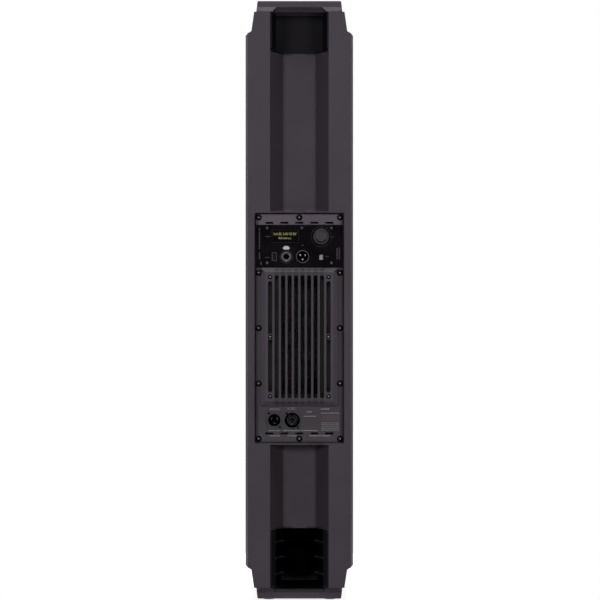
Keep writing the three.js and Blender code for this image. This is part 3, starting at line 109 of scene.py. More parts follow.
def seat(node, side):
    """The middle of one side of a CAD node's box, in millimetres."""
    axis, end = side
    corners = extent(node)
    place = [(a + b) / 2 for a, b in zip(*corners)]
    place[axis] = corners[end][axis]
    return tuple(place)


class Shape:
    """Gathers points in millimetres and faces, and makes one mesh object of them."""

    def __init__(self):
        self.points = []
        self.faces = []

    def add(self, points, faces):
        first = len(self.points)
        self.points += [tuple(p) for p in points]
        self.faces += [[first + i for i in face] for face in faces]

    def object(self, name, crease=35):
        mesh = bpy.data.meshes.new(name)
        mesh.from_pydata([Vector(p) * MM for p in self.points], [], self.faces)
        edit = bmesh.new()
        edit.from_mesh(mesh)
        bmesh.ops.remove_doubles(edit, verts=edit.verts, dist=0.002 * MM)
        bmesh.ops.recalc_face_normals(edit, faces=edit.faces)
        edit.to_mesh(mesh)
        edit.free()
        mesh.shade_smooth()
        mesh.set_sharp_from_angle(angle=radians(crease))
        made = bpy.data.objects.new(name, mesh)
        bpy.context.scene.collection.objects.link(made)
        return made


def eased(profile, amount, ring=False):
    """A profile with its sharp corners rounded."""
    steps = 3
    out = []
    count = len(profile)
    for i, (a, b) in enumerate(profile):
        here = Vector((a, b))
        if not ring and i in (0, count - 1):
            out.append((a, b))
            continue
        before = Vector(profile[i - 1]) - here
        after = Vector(profile[(i + 1) % count]) - here
        reach = min(amount, 0.45 * before.length, 0.45 * after.length)
        if reach < 1e-4 or before.angle(after) > radians(150):
            out.append((a, b))
            continue
        p = here + before.normalized() * reach
        q = here + after.normalized() * reach
        for k in range(steps + 1):
            t = k / steps
            out.append(tuple(p * (1 - t) ** 2 + here * 2 * t * (1 - t) + q * t * t))
    return out


def turned(shape, profile, place, sides=ROUND, axis="Y", ring=False, arc=(0, TURN), swell=None):
    """Turns a [radius, along] profile about Y or Z. A part turn of a closed profile gets end faces."""
    start, stop = arc
    whole = stop - start > TURN - 1e-6
    count = sides if whole else sides + 1
    across, along_y, up = place
    points = []
    for i in range(count):
        angle = start + (stop - start) * i / sides
        c, s = cos(angle), sin(angle)
        for radius, along in profile:
            r = radius + (swell(angle, radius, along) if swell else 0)
            if axis == "Y":
                points.append((across + r * c, along_y + along, up + r * s))
            else:
                points.append((across + r * c, along_y + r * s, up + along))
    n = len(profile)
    faces = []
    for i in range(sides):
        j = (i + 1) % count
        for k in range(n if ring else n - 1):
            m = (k + 1) % n
            faces.append([i * n + k, j * n + k, j * n + m, i * n + m])
    if ring and not whole:
        faces += [list(range(n)), [sides * n + k for k in range(n)]]
    shape.add(points, faces)


def hoop(shape, profile, ease, place, sides):
    """Turns a closed profile, with its corners rounded, about Y."""
    turned(shape, eased(profile, ease, True), place, sides, ring=True)


def spread(place, radius, count, first, axis="Y"):
    """Places spread evenly on a circle about Y or Z."""
    across, along, up = place
    places = []
    for k in range(count):
        angle = first + TURN * k / count
        a, b = radius * cos(angle), radius * sin(angle)
        places.append((across + a, along, up + b) if axis == "Y" else (across + a, along + b, up))
    return places


def prism(shape, outline, low, high, holes=()):
    """A flat outline of [x, z] points, pushed between two places on Y."""
    loops = [list(outline), *[list(hole) for hole in holes]]
    flat = [p for loop in loops for p in loop]
    triangles = tessellate_polygon([[Vector((a, b, 0)) for a, b in loop] for loop in loops])
    count = len(flat)
    faces = [list(t) for t in triangles]
    faces += [[i + count for i in reversed(t)] for t in triangles]
    first = 0
    for loop in loops:
        n = len(loop)
        for i in range(n):
            a, b = first + i, first + (i + 1) % n
            faces.append([a, b, b + count, a + count])
        first += n
    shape.add([(x, along, z) for along in (low, high) for x, z in flat], faces)


def rounded(x, z, width, height, radius, steps=6):
    """A rounded rectangle's outline."""
    points = []
    for sx, sz, start in ((1, -1, -90), (1, 1, 0), (-1, 1, 90), (-1, -1, 180)):
        cx = x + sx * (width / 2 - radius)
        cz = z + sz * (height / 2 - radius)
        for k in range(steps + 1):
            angle = radians(start + 90 * k / steps)
            points.append((cx + radius * cos(angle), cz + radius * sin(angle)))
    return points


def circle(x, z, radius, sides=ROUND, turn=0.0):
    return [
        (x + radius * cos(turn + TURN * k / sides), z + radius * sin(turn + TURN * k / sides))
        for k in range(sides)
    ]


def outline_of(node, corner, steps=6, inset=0.0):
    """A CAD node's outline from behind, as a rounded rectangle."""
    low, high = extent(node)
    mid = (low + high) / 2
    return rounded(mid.x, mid.z, high.x - low.x - 2 * inset, high.z - low.z - 2 * inset, corner, steps)


def box_outline(left, right, foot, top):
    return [(left, foot), (right, foot), (right, top), (left, top)]


def block(shape, low, high):
    prism(shape, box_outline(low[0], high[0], low[2], high[2]), low[1], high[1])


# Finishes


def put(node, values):
    """Gives inputs of a shader node their values, or links other nodes' outputs to them."""
    for key, value in values.items():
        if isinstance(value, bpy.types.NodeSocket):
            node.id_data.links.new(value, node.inputs[key])
        else:
            node.inputs[key].default_value = value


def times(colour, factor, more=0.0):
    return tuple(min(1.0, c * factor + more) for c in colour)


class Surface:
    """Builds one procedural material. Textures run in the object's own metres."""

    def __init__(self, name, colour, roughness, metallic=0.0, ior=1.45):
        self.material = bpy.data.materials.new(name)
        self.material.use_nodes = True
        self.tree = self.material.node_tree
        self.shader = self.tree.nodes["Principled BSDF"]
        put(self.shader, {"Metallic": metallic, "IOR": ior})
        self.where = self.node("TexCoord").outputs["Object"]
        self.colour = self.node("RGB").outputs[0]
        self.colour.default_value = (*colour, 1)
        self.rough = None
        self.base_rough = roughness
        self.heights = []
        self.soft_normal = None

    def node(self, kind, inputs=None, **settings):
        made = self.tree.nodes.new("ShaderNode" + kind)
        for key, value in settings.items():
            setattr(made, key, value)
        put(made, inputs or {})
        return made

    def noise(self, scale, detail=3.0, roughness=0.55, stretch=None, distortion=0.0):
        where = self.where
        if stretch:
            where = self.node("Mapping", {"Vector": where, "Scale": stretch}).outputs["Vector"]
        made = self.node("TexNoise", {"Vector": where, "Scale": scale, "Detail": detail})
        put(made, {"Roughness": roughness, "Distortion": distortion})
        return made.outputs["Fac"]

    def cells(self, scale, feature="F1"):
        made = self.node("TexVoronoi", {"Vector": self.where, "Scale": scale}, feature=feature)
        return made.outputs["Distance"]

    def wave(self, scale, direction):
        inputs = {"Vector": self.where, "Scale": scale, "Distortion": 0}
        made = self.node("TexWave", inputs, wave_type="BANDS", wave_profile="SIN")
        made.bands_direction = direction
        return made.outputs["Fac"]

    def remap(self, value, low, high, to_low=0.0, to_high=1.0):
        made = self.node("MapRange", {"Value": value, "From Min": low, "From Max": high})
        put(made, {"To Min": to_low, "To Max": to_high})
        return made.outputs["Result"]

    def maths(self, operation, a, b):
        return self.node("Math", {0: a, 1: b}, operation=operation).outputs[0]

    def between(self, axis, low, high, soft=0.4):
        """A mask that is 1 between two places on an axis, in millimetres. X counts to either side."""
        split = self.node("SeparateXYZ", {0: self.where})
        at = split.outputs[axis]
        if axis == "X":
            at = self.maths("ABSOLUTE", at, 0)
        up = self.remap(at, (low - soft) * MM, (low + soft) * MM)
        down = self.remap(at, (high - soft) * MM, (high + soft) * MM, 1.0, 0.0)
        return self.maths("MULTIPLY", up, down)

    def tint(self, mask, colour, strength=1.0, blend="MIX"):
        """Mixes a colour over what is there, where the mask is high."""
        inputs = {"Factor": self.maths("MULTIPLY", mask, strength), 6: self.colour, 7: (*colour, 1)}
        self.colour = self.node("Mix", inputs, data_type="RGBA", blend_type=blend).outputs[2]

    def vary_rough(self, value, spread):
        """Lets the roughness swing either way about its base."""
        swing = self.remap(value, 0.3, 0.7, -spread, spread)
        self.rough = swing if self.rough is None else self.maths("ADD", self.rough, swing)

    def rise(self, value, depth, strength=1.0):
        """Adds relief: the value's full swing stands for this depth in millimetres."""
        self.heights.append((value, depth, strength))

    def edges(self, radius):
        """A mask that is high on convex edges."""
        soft = self.node("Bevel", {"Radius": radius * MM}, samples=4).outputs["Normal"]
        true = self.node("NewGeometry").outputs["Normal"]
        dot = self.node("VectorMath", {0: soft, 1: true}, operation="DOT_PRODUCT")
        return self.remap(self.maths("SUBTRACT", 1.0, dot.outputs["Value"]), 0.0, 0.12)

    def fillet(self, radius, mask):
        """Shades the edges within the mask as if they were filled with this radius, in millimetres."""
        soft = self.node("Bevel", {"Radius": radius * MM}, samples=8).outputs["Normal"]
        true = self.node("NewGeometry").outputs["Normal"]
        blend = self.node("Mix", {0: mask, 4: true, 5: soft}, data_type="VECTOR")
        self.soft_normal = blend.outputs[1]

    def worn(self, colour, strength=0.35, radius=0.9):
        """Rubs the edges towards another colour, in patches."""
        patches = self.remap(self.noise(60, 4, 0.6), 0.42, 0.62)
        self.tint(self.maths("MULTIPLY", self.edges(radius), patches), colour, strength)

    def done(self):
        rough = self.node("Math", {0: self.rough, 1: self.base_rough}, operation="ADD", use_clamp=True)
        put(self.shader, {"Base Color": self.colour, "Roughness": rough.outputs[0]})
        normal = self.soft_normal
        for value, depth, strength in self.heights:
            bump = self.node("Bump", {"Strength": strength, "Distance": depth * MM, "Height": value})
            if normal is not None:
                put(bump, {"Normal": normal})
            normal = bump.outputs["Normal"]
        if normal is not None:
            put(self.shader, {"Normal": normal})
        return self.material


def moulded(
    name, colour, roughness, grain=900, depth=0.05, wear=0.3, ior=1.45, painted_light_zones=(), fillet=None, gleam=0.5
):
    """Textured plastic or paint: a fine pebble, faint cloudiness, rubbed edges.

    Each painted light zone is a factor for the colour, lighter or darker for light and shade, and the [axis,
    low, high] spans that it holds in.
    A fillet is a radius and the span on X where inner edges are shaded round.
    """
    s = Surface(name, colour, roughness, ior=ior)
    put(s.shader, {"Specular IOR Level": gleam})
    if fillet:
        s.fillet(fillet[0], s.between("X", *fillet[1:], soft=4))
    s.tint(s.remap(s.noise(7, 4, 0.6), 0.35, 0.7), times(colour, 1.7), 0.16)
    s.tint(s.remap(s.noise(grain * 0.6, 2), 0.4, 0.7), times(colour, 0.72), 0.3)
    s.worn(times(colour, 2.2), wear)
    # Painted light and shade: each zone multiplies the colour within its spans.
    for factor, spans in painted_light_zones:
        mask = s.between(*spans[0])
        for span in spans[1:]:
            mask = s.maths("MULTIPLY", mask, s.between(*span))
        s.tint(mask, (factor, factor, factor), blend="MULTIPLY")
    s.vary_rough(s.noise(18, 5, 0.6), 0.05)
    s.vary_rough(s.noise(grain, 2), 0.04)
    s.rise(s.noise(grain, 2, 0.6), depth, 0.5)
    s.rise(s.cells(grain * 1.4), depth * 0.5, 0.3)
    return s.done()


def steel(name, colour, roughness, stretch=(40, 900, 40), metallic=1.0):
    """Bare or plated metal with drawn grain."""
    s = Surface(name, colour, roughness, metallic)
    s.tint(s.remap(s.noise(30, 4, 0.6), 0.4, 0.7), times(colour, 0.75), 0.4)
    s.worn(times(colour, 1.25), 0.5, 0.4)
    s.vary_rough(s.noise(1, 2, 0.5, stretch), 0.08)
    s.rise(s.noise(1, 2, 0.5, stretch), 0.01, 0.4)
    return s.done()


def gloss(name, colour, roughness):
    """Polished plastic with faint smears and dust."""
    s = Surface(name, colour, roughness, ior=1.5)
    s.tint(s.remap(s.noise(14, 3, 0.5), 0.4, 0.75), times(colour, 1.6, 0.002), 0.35)
    s.tint(s.remap(s.noise(2600, 1), 0.76, 0.84), (0.12, 0.11, 0.12), 0.25)
    s.worn(times(colour, 2.5, 0.003), 0.3, 0.5)
    s.vary_rough(s.noise(22, 5, 0.65, distortion=0.8), 0.05)
    s.rise(s.noise(35, 2), 0.02, 0.15)
    return s.done()


def paper(name, colour):
    s = Surface(name, colour, 0.78)
    s.tint(s.remap(s.noise(420, 5, 0.7), 0.4, 0.65), times(colour, 1.9, 0.004), 0.45)
    s.vary_rough(s.noise(300, 4), 0.08)
    s.rise(s.noise(500, 4, 0.7), 0.12, 0.7)
    return s.done()


def rubber(name, colour, roughness=0.62):
    s = Surface(name, colour, roughness)
    s.tint(s.remap(s.noise(25, 4), 0.45, 0.75), times(colour, 2.2, 0.004), 0.35)
    s.worn(times(colour, 2, 0.01), 0.25)
    s.vary_rough(s.noise(80, 4), 0.07)
    s.rise(s.noise(1500, 2), 0.02, 0.35)
    return s.done()


def cloth(name, colour):
    s = Surface(name, colour, 0.85)
    weave = s.maths("MULTIPLY", s.wave(500, "X"), s.wave(500, "Z"))
    s.tint(s.remap(weave, 0.0, 0.5, 1.0, 0.0), times(colour, 0.5), 0.6)
    s.tint(s.remap(s.noise(40, 4), 0.4, 0.7), times(colour, 1.2), 0.4)
    s.vary_rough(s.noise(200, 3), 0.05)
    s.rise(weave, 0.15, 0.8)
    return s.done()


def laminate(name, colour):
    """Solder mask with copper tracks showing through as a faint relief."""
    s = Surface(name, colour, 0.5, ior=1.25)
    tracks = s.remap(s.cells(160, "DISTANCE_TO_EDGE"), 0.02, 0.06, 1.0, 0.0)
    s.tint(tracks, times(colour, 2.4), 0.6)
    s.tint(s.remap(s.cells(700), 0.0, 0.16, 1.0, 0.0), times(colour, 6), 0.7)
    s.vary_rough(s.noise(60, 4), 0.06)
    s.rise(tracks, 0.05, 0.5)
    return s.done()


def ink(name, colour, faded):
    """Screen print, thinner in places."""
    s = Surface(name, colour, 0.55)
    s.tint(s.remap(s.noise(900, 3), 0.45, 0.7), faded, 0.6)
    s.vary_rough(s.noise(300, 3), 0.05)
    return s.done()


# Painted light and shade, where a finish is made lighter or darker: a factor for the colour, and
# the spans that it holds in. X counts to either side.

# Painted shade: the insides of the shell and caps are darkened nearly to black, and the rear channel a
# little darker.
INSIDE_SHELL = [("X", -1, 74), ("Y", -200, 90)]
CHANNEL = [("X", -1, 51.4), ("Y", 90, 136.8)]
BETWEEN_CAPS = ("Z", 22.5, 1034)
SHELL_PAINTED_SHADE = [(0.08, INSIDE_SHELL), (0.86, CHANNEL)]
CAP_PAINTED_SHADE = [(0.01, [*INSIDE_SHELL, BETWEEN_CAPS])]

# Painted light and shade on the cast cover: painted shade behind the slots, in the lead grooves and on the
# upper slope; painted light on the lower slope and on the leaning sides.
BEHIND_SLOTS = [("X", -1, 55.2), ("Y", 0, 134), ("Z", 354.5, 572.3)]
COVER_DEPTHS = ("Y", 124, 150)
SIDE_FOOT, SIDE_TOP = 349, 577.5  # where the cover's leaning sides meet its lower and upper slopes
COVER_PAINTED_LIGHT = [
    (0.1, BEHIND_SLOTS),
    (0.62, [("Z", SIDE_TOP, 600), COVER_DEPTHS]),
    (1.8, [("Z", 330, SIDE_FOOT), COVER_DEPTHS]),
    (1.7, [("X", 60.8, 80), COVER_DEPTHS, ("Z", SIDE_FOOT, SIDE_TOP)]),
]
SLOT_PITCH, SLOT_HALF = 11.4, 3.6
LEAD_GROOVES = [("Z", 573, 583), ("Z", 344, 354)]  # they run on from the slots
for slot in range(4):
    slot_x = SLOT_PITCH * (slot + 0.5)
    across = ("X", slot_x - SLOT_HALF, slot_x + SLOT_HALF)
    COVER_PAINTED_LIGHT += [(0.62, [across, painted_shade]) for painted_shade in LEAD_GROOVES]

PANEL_SKIN = 124.1  # what is behind it is the panel's thickness
# Painted light and shade on the panel: a painted highlight on the top strip above the fascia, painted shade
# behind the face in the louvre holes, and painted shade along the margins by the recess wall.
PANEL_PAINTED_LIGHT = [
    (2.5, [("Z", 661, 690), ("Y", PANEL_SKIN, 140)]),
    (0.12, [("Z", 250, 690), ("Y", 100, PANEL_SKIN)]),
    (0.65, [("X", 71.5, 90)]),
]

# Painted light in the port: the duct's side walls and the vanes' ends lighter, with lighter streaks where
# the vanes meet the walls.
VANE_HEIGHTS, VANE_HALF = (44.1, 72.3, 100.5), 2
VANE_ENDS = ("X", 27, 42)
DUCT_PAINTED_LIGHT = [(13, [("X", 42, 70)]), (2, [VANE_ENDS])]
for height in VANE_HEIGHTS:
    DUCT_PAINTED_LIGHT.append((8, [VANE_ENDS, ("Z", height - VANE_HALF, height + VANE_HALF)]))

SHELL_GREY = (0.048, 0.0375, 0.0495)
EVEN_GRAIN = (300, 300, 300)
FINISHES = {
    "moulded_shell": (moulded, SHELL_GREY, 0.7),
    "black_moulding": (moulded, (0.0078, 0.0062, 0.0088), 0.66, 800, 0.05, 0.2, 1.22),
    "black_rubber": (rubber, (0.008, 0.008, 0.009)),
    "grille_steel": (moulded, (0.016, 0.015, 0.018), 0.5, 1400, 0.03, 0.35),
    # panel_metal and cast_cover carry the painted light and shade of their zones.
    "panel_metal": (moulded, (0.042, 0.033, 0.0435), 0.6, 1300, 0.03, 0.3, 1.45, PANEL_PAINTED_LIGHT),
    "cast_cover": (moulded, (0.044, 0.035, 0.0465), 0.62, 1100, 0.045, 0.35, 1.45, COVER_PAINTED_LIGHT),
    "gloss_fascia": (gloss, (0.005, 0.0032, 0.005), 0.1),
    "display_glass": (gloss, (0.003, 0.003, 0.004), 0.08),
    "bare_steel": (steel, (0.46, 0.45, 0.46), 0.34),
    "basket_steel": (moulded, (0.021, 0.0165, 0.0215), 0.5, 1200, 0.03),
    "cone_paper": (paper, (0.013, 0.012, 0.013)),
    "spider_cloth": (cloth, (0.3, 0.2, 0.08)),
    "magnet_ferrite": (steel, (0.1, 0.1, 0.11), 0.5, (200, 200, 200), 0.6),
    "knob_grey": (moulded, (0.017, 0.017, 0.02), 0.5, 1600, 0.02, 0.4),
    "plastic_black": (moulded, (0.006, 0.0055, 0.0065), 0.45, 1500, 0.015, 0.3, 1.3),
    "pale_grey": (moulded, (0.52, 0.5, 0.52), 0.42, 1500, 0.015, 0.2),
    "circuit_board": (laminate, (0.04, 0.036, 0.044)),
    "galvanised_steel": (steel, (0.27, 0.29, 0.3), 0.42, EVEN_GRAIN),
    "foam_seal": (rubber, (0.005, 0.005, 0.005), 0.9),
}
MATERIALS = {name: make(name, *values) for name, (make, *values) in FINISHES.items()}
# Near-black: the real black of socket shells and wells, and painted shade on the screw cups, the pole cup
# and the knob's shadow crescent.
black_and_painted_shade = moulded("black_and_painted_shade", (0.0022, 0.002, 0.0025), 0.75, 800, 0.05, 0.1, 1.15, gleam=0.1)
# shell_paint and cap_paint carry that painted shade; the fillet only bends the shading normals.
shell_paint = moulded("shell_paint", SHELL_GREY, 0.7, painted_light_zones=SHELL_PAINTED_SHADE, fillet=(10, 12, 44))
cap_paint = moulded("cap_paint", SHELL_GREY, 0.7, painted_light_zones=CAP_PAINTED_SHADE)
# The duct's near-black carries that painted light on its walls and vane ends.
duct_colour = (0.001, 0.0009, 0.0012)
duct_black = moulded("duct_black", duct_colour, 0.7, 800, 0.05, 0.1, 1.15, painted_light_zones=DUCT_PAINTED_LIGHT, gleam=0)
blackened = steel("blackened_screw", (0.022, 0.02, 0.023), 0.12, EVEN_GRAIN)
dim_steel = steel("dim_steel", (0.075, 0.07, 0.075), 0.4, EVEN_GRAIN)
gilt = steel("gilt_contact", (0.62, 0.5, 0.36), 0.3, EVEN_GRAIN)
screw_grey = moulded("screw_grey", (0.05, 0.047, 0.05), 0.4, 1500, 0.015)
socket_grey = moulded("socket_grey", (0.03, 0.027, 0.031), 0.5, 1500, 0.015)
socket_rim = moulded("socket_rim", (0.085, 0.085, 0.092), 0.38, 1500, 0.015)
link_grey = moulded("link_rim", (0.06, 0.055, 0.06), 0.38, 1500, 0.015)
collar_grey = moulded("collar_grey", (0.012, 0.011, 0.013), 0.5, ior=1.25)
slider_grey = moulded("slider_grey", (0.3, 0.29, 0.31), 0.42, 1500, 0.015, 0.2)


def add_piece(shape, name, slot, body=BODY, replaces=(), ease=0.0, crease=35, material=None):
    """Makes a mesh of the shape, gives it its finish and lets it ride on a body."""
    made = shape.object(name, crease)
    made.data.materials.append(material or MATERIALS[slot])
    if ease:
        soften(made, ease)
    if body:
        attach(made, body)
    if replaces:
        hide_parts(*replaces)
    return made


def turned_piece(name, profile, ease, place, sides=WIDE, ring=False, **finish):
    """Adds a piece that is turned from one profile, finished as plastic_black unless a material is given."""
    shape = Shape()
    turned(shape, eased(profile, ease, ring), place, sides, ring=ring)
    add_piece(shape, name, "plastic_black", **finish)


def soften(made, width):
    """Rounds the sharp edges of a mesh and evens out its shading."""
    weld = made.modifiers.new("Weld", "WELD")
    weld.merge_threshold = 0.004 * MM
    flat = made.modifiers.new("Flat", "DECIMATE")
    flat.decimate_type = "DISSOLVE"
    flat.angle_limit = radians(1)
    bevel = made.modifiers.new("Ease", "BEVEL")
    bevel.width = width * MM
    bevel.segments = 3
    bevel.limit_method = "ANGLE"
    bevel.angle_limit = radians(28)
    bevel.use_clamp_overlap = True
    even = made.modifiers.new("Even", "WEIGHTED_NORMAL")
    even.keep_sharp = False
    even.weight = 80


# CAD nodes that are shown as they are, by the radius of their rounded edges
KEPT = {
    1.4: ["cabinet_shell"],
    0.9: ["top_cap", "bottom_cap"],
    0.8: ["handle_cup", "hf_waveguide", "power_transformer"],
    0.6: ["port_duct", "hf_driver_lower", "hf_driver_upper", "vent_cover"],
    0.5: ["front_baffle", "amp_back_box"],
    0.35: ["amp_panel"],
    0.3: ["control_fascia", "power_board", "heat_spreader"],
    0.2: ["panel_gasket", "display_module", "encoder_body", "encoder_shaft", "lift_switch"],
    0.25: ["display_lens"],
    0.1: ["control_board"],
}
SLOT_OF = {part["node"]: part["material_slot"] for part in frame["record"]["subparts"]}
FINISH_OF = {
    "cabinet_shell": shell_paint,
    "port_duct": duct_black,
    "top_cap": cap_paint,
    "bottom_cap": cap_paint,
    # The transformer is black as painted shade, where it shows behind the vent slots.
    "power_transformer": MATERIALS["black_moulding"],
}


def keep_node(name, width):
    node = frame["nodes"][name]
    mesh = node.data
    if "custom_normal" in mesh.attributes:
        mesh.attributes.remove(mesh.attributes["custom_normal"])
    mesh.materials.clear()
    mesh.materials.append(FINISH_OF.get(name, MATERIALS[SLOT_OF[name]]))
    mesh.shade_smooth()
    soften(node, width)


for edge_radius, names in KEPT.items():
    for node_name in names:
        keep_node(node_name, edge_radius)


# Woofers. Profiles are [radius, depth behind the flange's face] points.

WOOFERS = 4
BASKET_RIM = [(72.5, 4), (70.7, 8.6), (68.1, 8.6), (70.3, 4), (70.3, 2), (76, 2), (76, 0)]
FLANGE_THICKNESS = 4
BASKET_SEAT = [(48.4, 37), (43, 50), (35, 50), (35, 42.3), (40.4, 42.3), (45.6, 37)]
BASKET_LEG = [(71, 8), (48.1, 38), (45.2, 38), (68.2, 8)]
LEGS = 4
LEG_HALF = TURN / 16
BASKET_SCREW = [(0, -1.6), (2.2, -1.6), (2.6, -0.2), (2.6, 0.4), (0, 0.4)]
BASKET_SCREWS = 8
BASKET_SCREW_CIRCLE = 79
TOP_PLATE = [(0, 50.3), (18.3, 50.3), (18.3, 74.3), (21.7, 74.3), (21.7, 50.3), (44, 50.3), (44, 56)]
MAGNET_RING = [(43, 56.4), (43, 73), (44, 73.4)]
BACK_PLATE = [(44, 76.3), (41, 79.3), (0, 79.3)]
COIL_RADIUS = 20.5
COIL_WALL = 1
COIL_END = 62
DOME_DEPTH = 33.5
DOME_RISE = 7
CONE_RIM = 62
CONE_DEPTH = 32.6
CONE_BOW = 1.12
CONE_WALL = 2.9
CAP_WALL = 1.5
ROLL_INNER, ROLL_OUTER = 62.3, 70.3
ROLL_DEPTH = 1.7
ROLL_WALL = 1
LIP_INNER, LIP_OUTER = 60.6, 75.2
ROLL_BEND = (61.5, 71)  # where the surround starts and stops to follow the cone
SPIDER_INNER, SPIDER_OUTER = 20.8, 38
SPIDER_DEPTH = 41.4
SPIDER_WALL = 0.5
SPIDER_WAVES = 6
SPIDER_SWING = 0.75
SPIDER_BEND = (22, 36)
WAVE_STEPS = 8
ARC_STEPS = 12


def cone_profile():
    quarter = [TURN / 4 * k / 8 for k in range(9)]
    dome = [(COIL_RADIUS * sin(a), DOME_DEPTH - DOME_RISE * cos(a)) for a in quarter]
    reach = CONE_RIM - COIL_RADIUS
    parts = [k / 10 for k in range(11)]
    flare = [(COIL_RADIUS + reach * t, DOME_DEPTH - CONE_DEPTH * t**CONE_BOW) for t in parts]
    back = [(radius, depth + CONE_WALL) for radius, depth in reversed(flare)]
    inside = COIL_RADIUS - COIL_WALL
    cap = DOME_DEPTH + CAP_WALL
    coil = [(COIL_RADIUS, COIL_END), (inside, COIL_END), (inside, cap), (0, cap)]
    return dome + flare[1:] + back + coil


def roll_profile():
    middle, outside = (ROLL_INNER + ROLL_OUTER) / 2, (ROLL_OUTER - ROLL_INNER) / 2
    inside = outside - ROLL_WALL
    face = ROLL_DEPTH - ROLL_WALL
    half = [TURN / 2 * k / ARC_STEPS for k in range(ARC_STEPS + 1)]
    upper = [(middle - outside * cos(a), face - outside * sin(a)) for a in half]
    lower = [(middle - inside * cos(a), ROLL_DEPTH - inside * sin(a)) for a in reversed(half)]
    outer_lip = [(LIP_OUTER, face), (LIP_OUTER, ROLL_DEPTH)]
    return [(LIP_INNER, face - 0.2), *upper, *outer_lip, *lower, (LIP_INNER, ROLL_DEPTH - 0.3)]


def spider_profile():
    steps = SPIDER_WAVES * WAVE_STEPS
    wave = []
    for i in range(steps + 1):
        swing = sin(TURN * i / WAVE_STEPS) if 2 < i < steps - 2 else 0
        radius = SPIDER_INNER + (SPIDER_OUTER - SPIDER_INNER) * i / steps
        wave.append((radius, SPIDER_DEPTH + SPIDER_SWING * swing))
    return wave + [(radius, depth + SPIDER_WALL) for radius, depth in reversed(wave)]


def woofer(number):
    name = f"woofer_{number}"
    low, high = extent(f"{name}_basket")
    place = seat(f"{name}_basket", FRONT)
    flange = (high.x - low.x) / 2
    basket = Shape()
    hoop(basket, [(flange, 0), (flange, FLANGE_THICKNESS), *BASKET_RIM], 0.5, place, FINE)
    hoop(basket, BASKET_SEAT, 0.5, place, FINE)
    for k in range(LEGS):
        middle = TURN * k / LEGS
        turned(basket, BASKET_LEG, place, FEW, ring=True, arc=(middle - LEG_HALF, middle + LEG_HALF))
    for at in spread(place, BASKET_SCREW_CIRCLE, BASKET_SCREWS, TURN / 2 / BASKET_SCREWS):
        turned(basket, eased(BASKET_SCREW, 0.3), at, SMALL)
    add_piece(basket, f"{name}_frame", "basket_steel", replaces=[f"{name}_basket"])

    magnet = Shape()
    turned(magnet, eased(TOP_PLATE + MAGNET_RING + BACK_PLATE, 0.4), place, WIDE)
    add_piece(magnet, f"{name}_motor", "magnet_ferrite", replaces=[f"{name}_magnet"])

    cone = Shape()
    turned(cone, cone_profile(), place, FINE)
    add_piece(cone, f"{name}_diaphragm", "cone_paper", f"cone_{number}", [f"{name}_cone"], crease=50)

    surround = Shape()
    turned(surround, roll_profile(), place, FINE, ring=True)
    piece = add_piece(surround, f"{name}_roll", "black_rubber", None, [f"{name}_surround"])
    bend(piece, number, place, *ROLL_BEND)

    spider = Shape()
    turned(spider, spider_profile(), place, WIDE, ring=True)
    piece = add_piece(spider, f"{name}_centring", "spider_cloth", None, [f"{name}_spider"])
    bend(piece, number, place, *SPIDER_BEND)


def bend(piece, number, place, inner, outer):
    """The piece's inner edge goes with the cone and its outer edge stays on the basket."""
    start = (place[0] * MM, place[1] * MM, (place[2] + outer) * MM)
    end = (place[0] * MM, place[1] * MM, (place[2] + inner) * MM)
    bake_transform(piece, BODY, f"cone_{number}", start=start, end=end)
    weights = piece.data.attributes["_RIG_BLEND"].data
    for vertex, weight in zip(piece.data.vertices, weights):
        radius = hypot(vertex.co.x / MM - place[0], vertex.co.z / MM - place[2])
        t = min(1.0, max(0.0, (outer - radius) / (outer - inner)))
        weight.value = t * t * (3 - 2 * t)


for woofer_number in range(1, WOOFERS + 1):
    woofer(woofer_number)


# Grille: a pressed sheet with fine hexagonal perforations

GRILLE_FLAT = 82  # half the width of its flat face
GRILLE_THICKNESS = 1.2
END_INSET, SHOULDER_INSET = 15.5, 10.6
SHOULDER_RISE, FULL_RISE = 30.2, 36.2
FLAT_RISE = 27.7  # where the sloped end is as wide as the flat face
BEND_DEPTH = 6.5  # flat, upright part of the sheet's sides
HOLE_PITCH, HOLE_RADIUS = 8.4, 3.75
HOLE_MARGIN = 9
HEX = 6


def grille_outline(low, high):
    """A function for half the sheet's width at a height, and the heights where it changes."""
    wide = high.x
    ends = [(0, wide - END_INSET), (SHOULDER_RISE, wide - SHOULDER_INSET), (FULL_RISE, wide)]
    stations = [(low.z + rise, half) for rise, half in ends]
    stations += [(high.z - rise, half) for rise, half in reversed(ends)]

    def half_at(z):
        for (z0, w0), (z1, w1) in zip(stations, stations[1:]):
            if z0 <= z <= z1:
                return w0 + (w1 - w0) * (z - z0) / (z1 - z0)
        return stations[-1][1]

    levels = {z for z, _ in stations} | {low.z + FLAT_RISE, high.z - FLAT_RISE}
    return half_at, sorted(levels)


def grille_sides(sheet, low, high, half_at, levels):
    face, rear = low.y, high.y

    def depth_at(half):
        return face + max(0.0, half - GRILLE_FLAT) * (rear - BEND_DEPTH - face) / (high.x - GRILLE_FLAT)

    for side in (-1, 1):
        points = []
        for z in levels:
            half = half_at(z)
            points.append((side * min(GRILLE_FLAT, half), face, z))
            points.append((side * half, depth_at(half), z))
            points.append((side * half, rear, z))
        faces = [
            [3 * i + k, 3 * i + k + 1, 3 * i + k + 4, 3 * i + k + 3]
            for i in range(len(levels) - 1)
            for k in range(2)
        ]
        sheet.add(points, faces)
    for z in (low.z, high.z):
        half = half_at(z)
        sheet.add([(-half, face, z), (half, face, z), (half, rear, z), (-half, rear, z)], [[0, 1, 2, 3]])


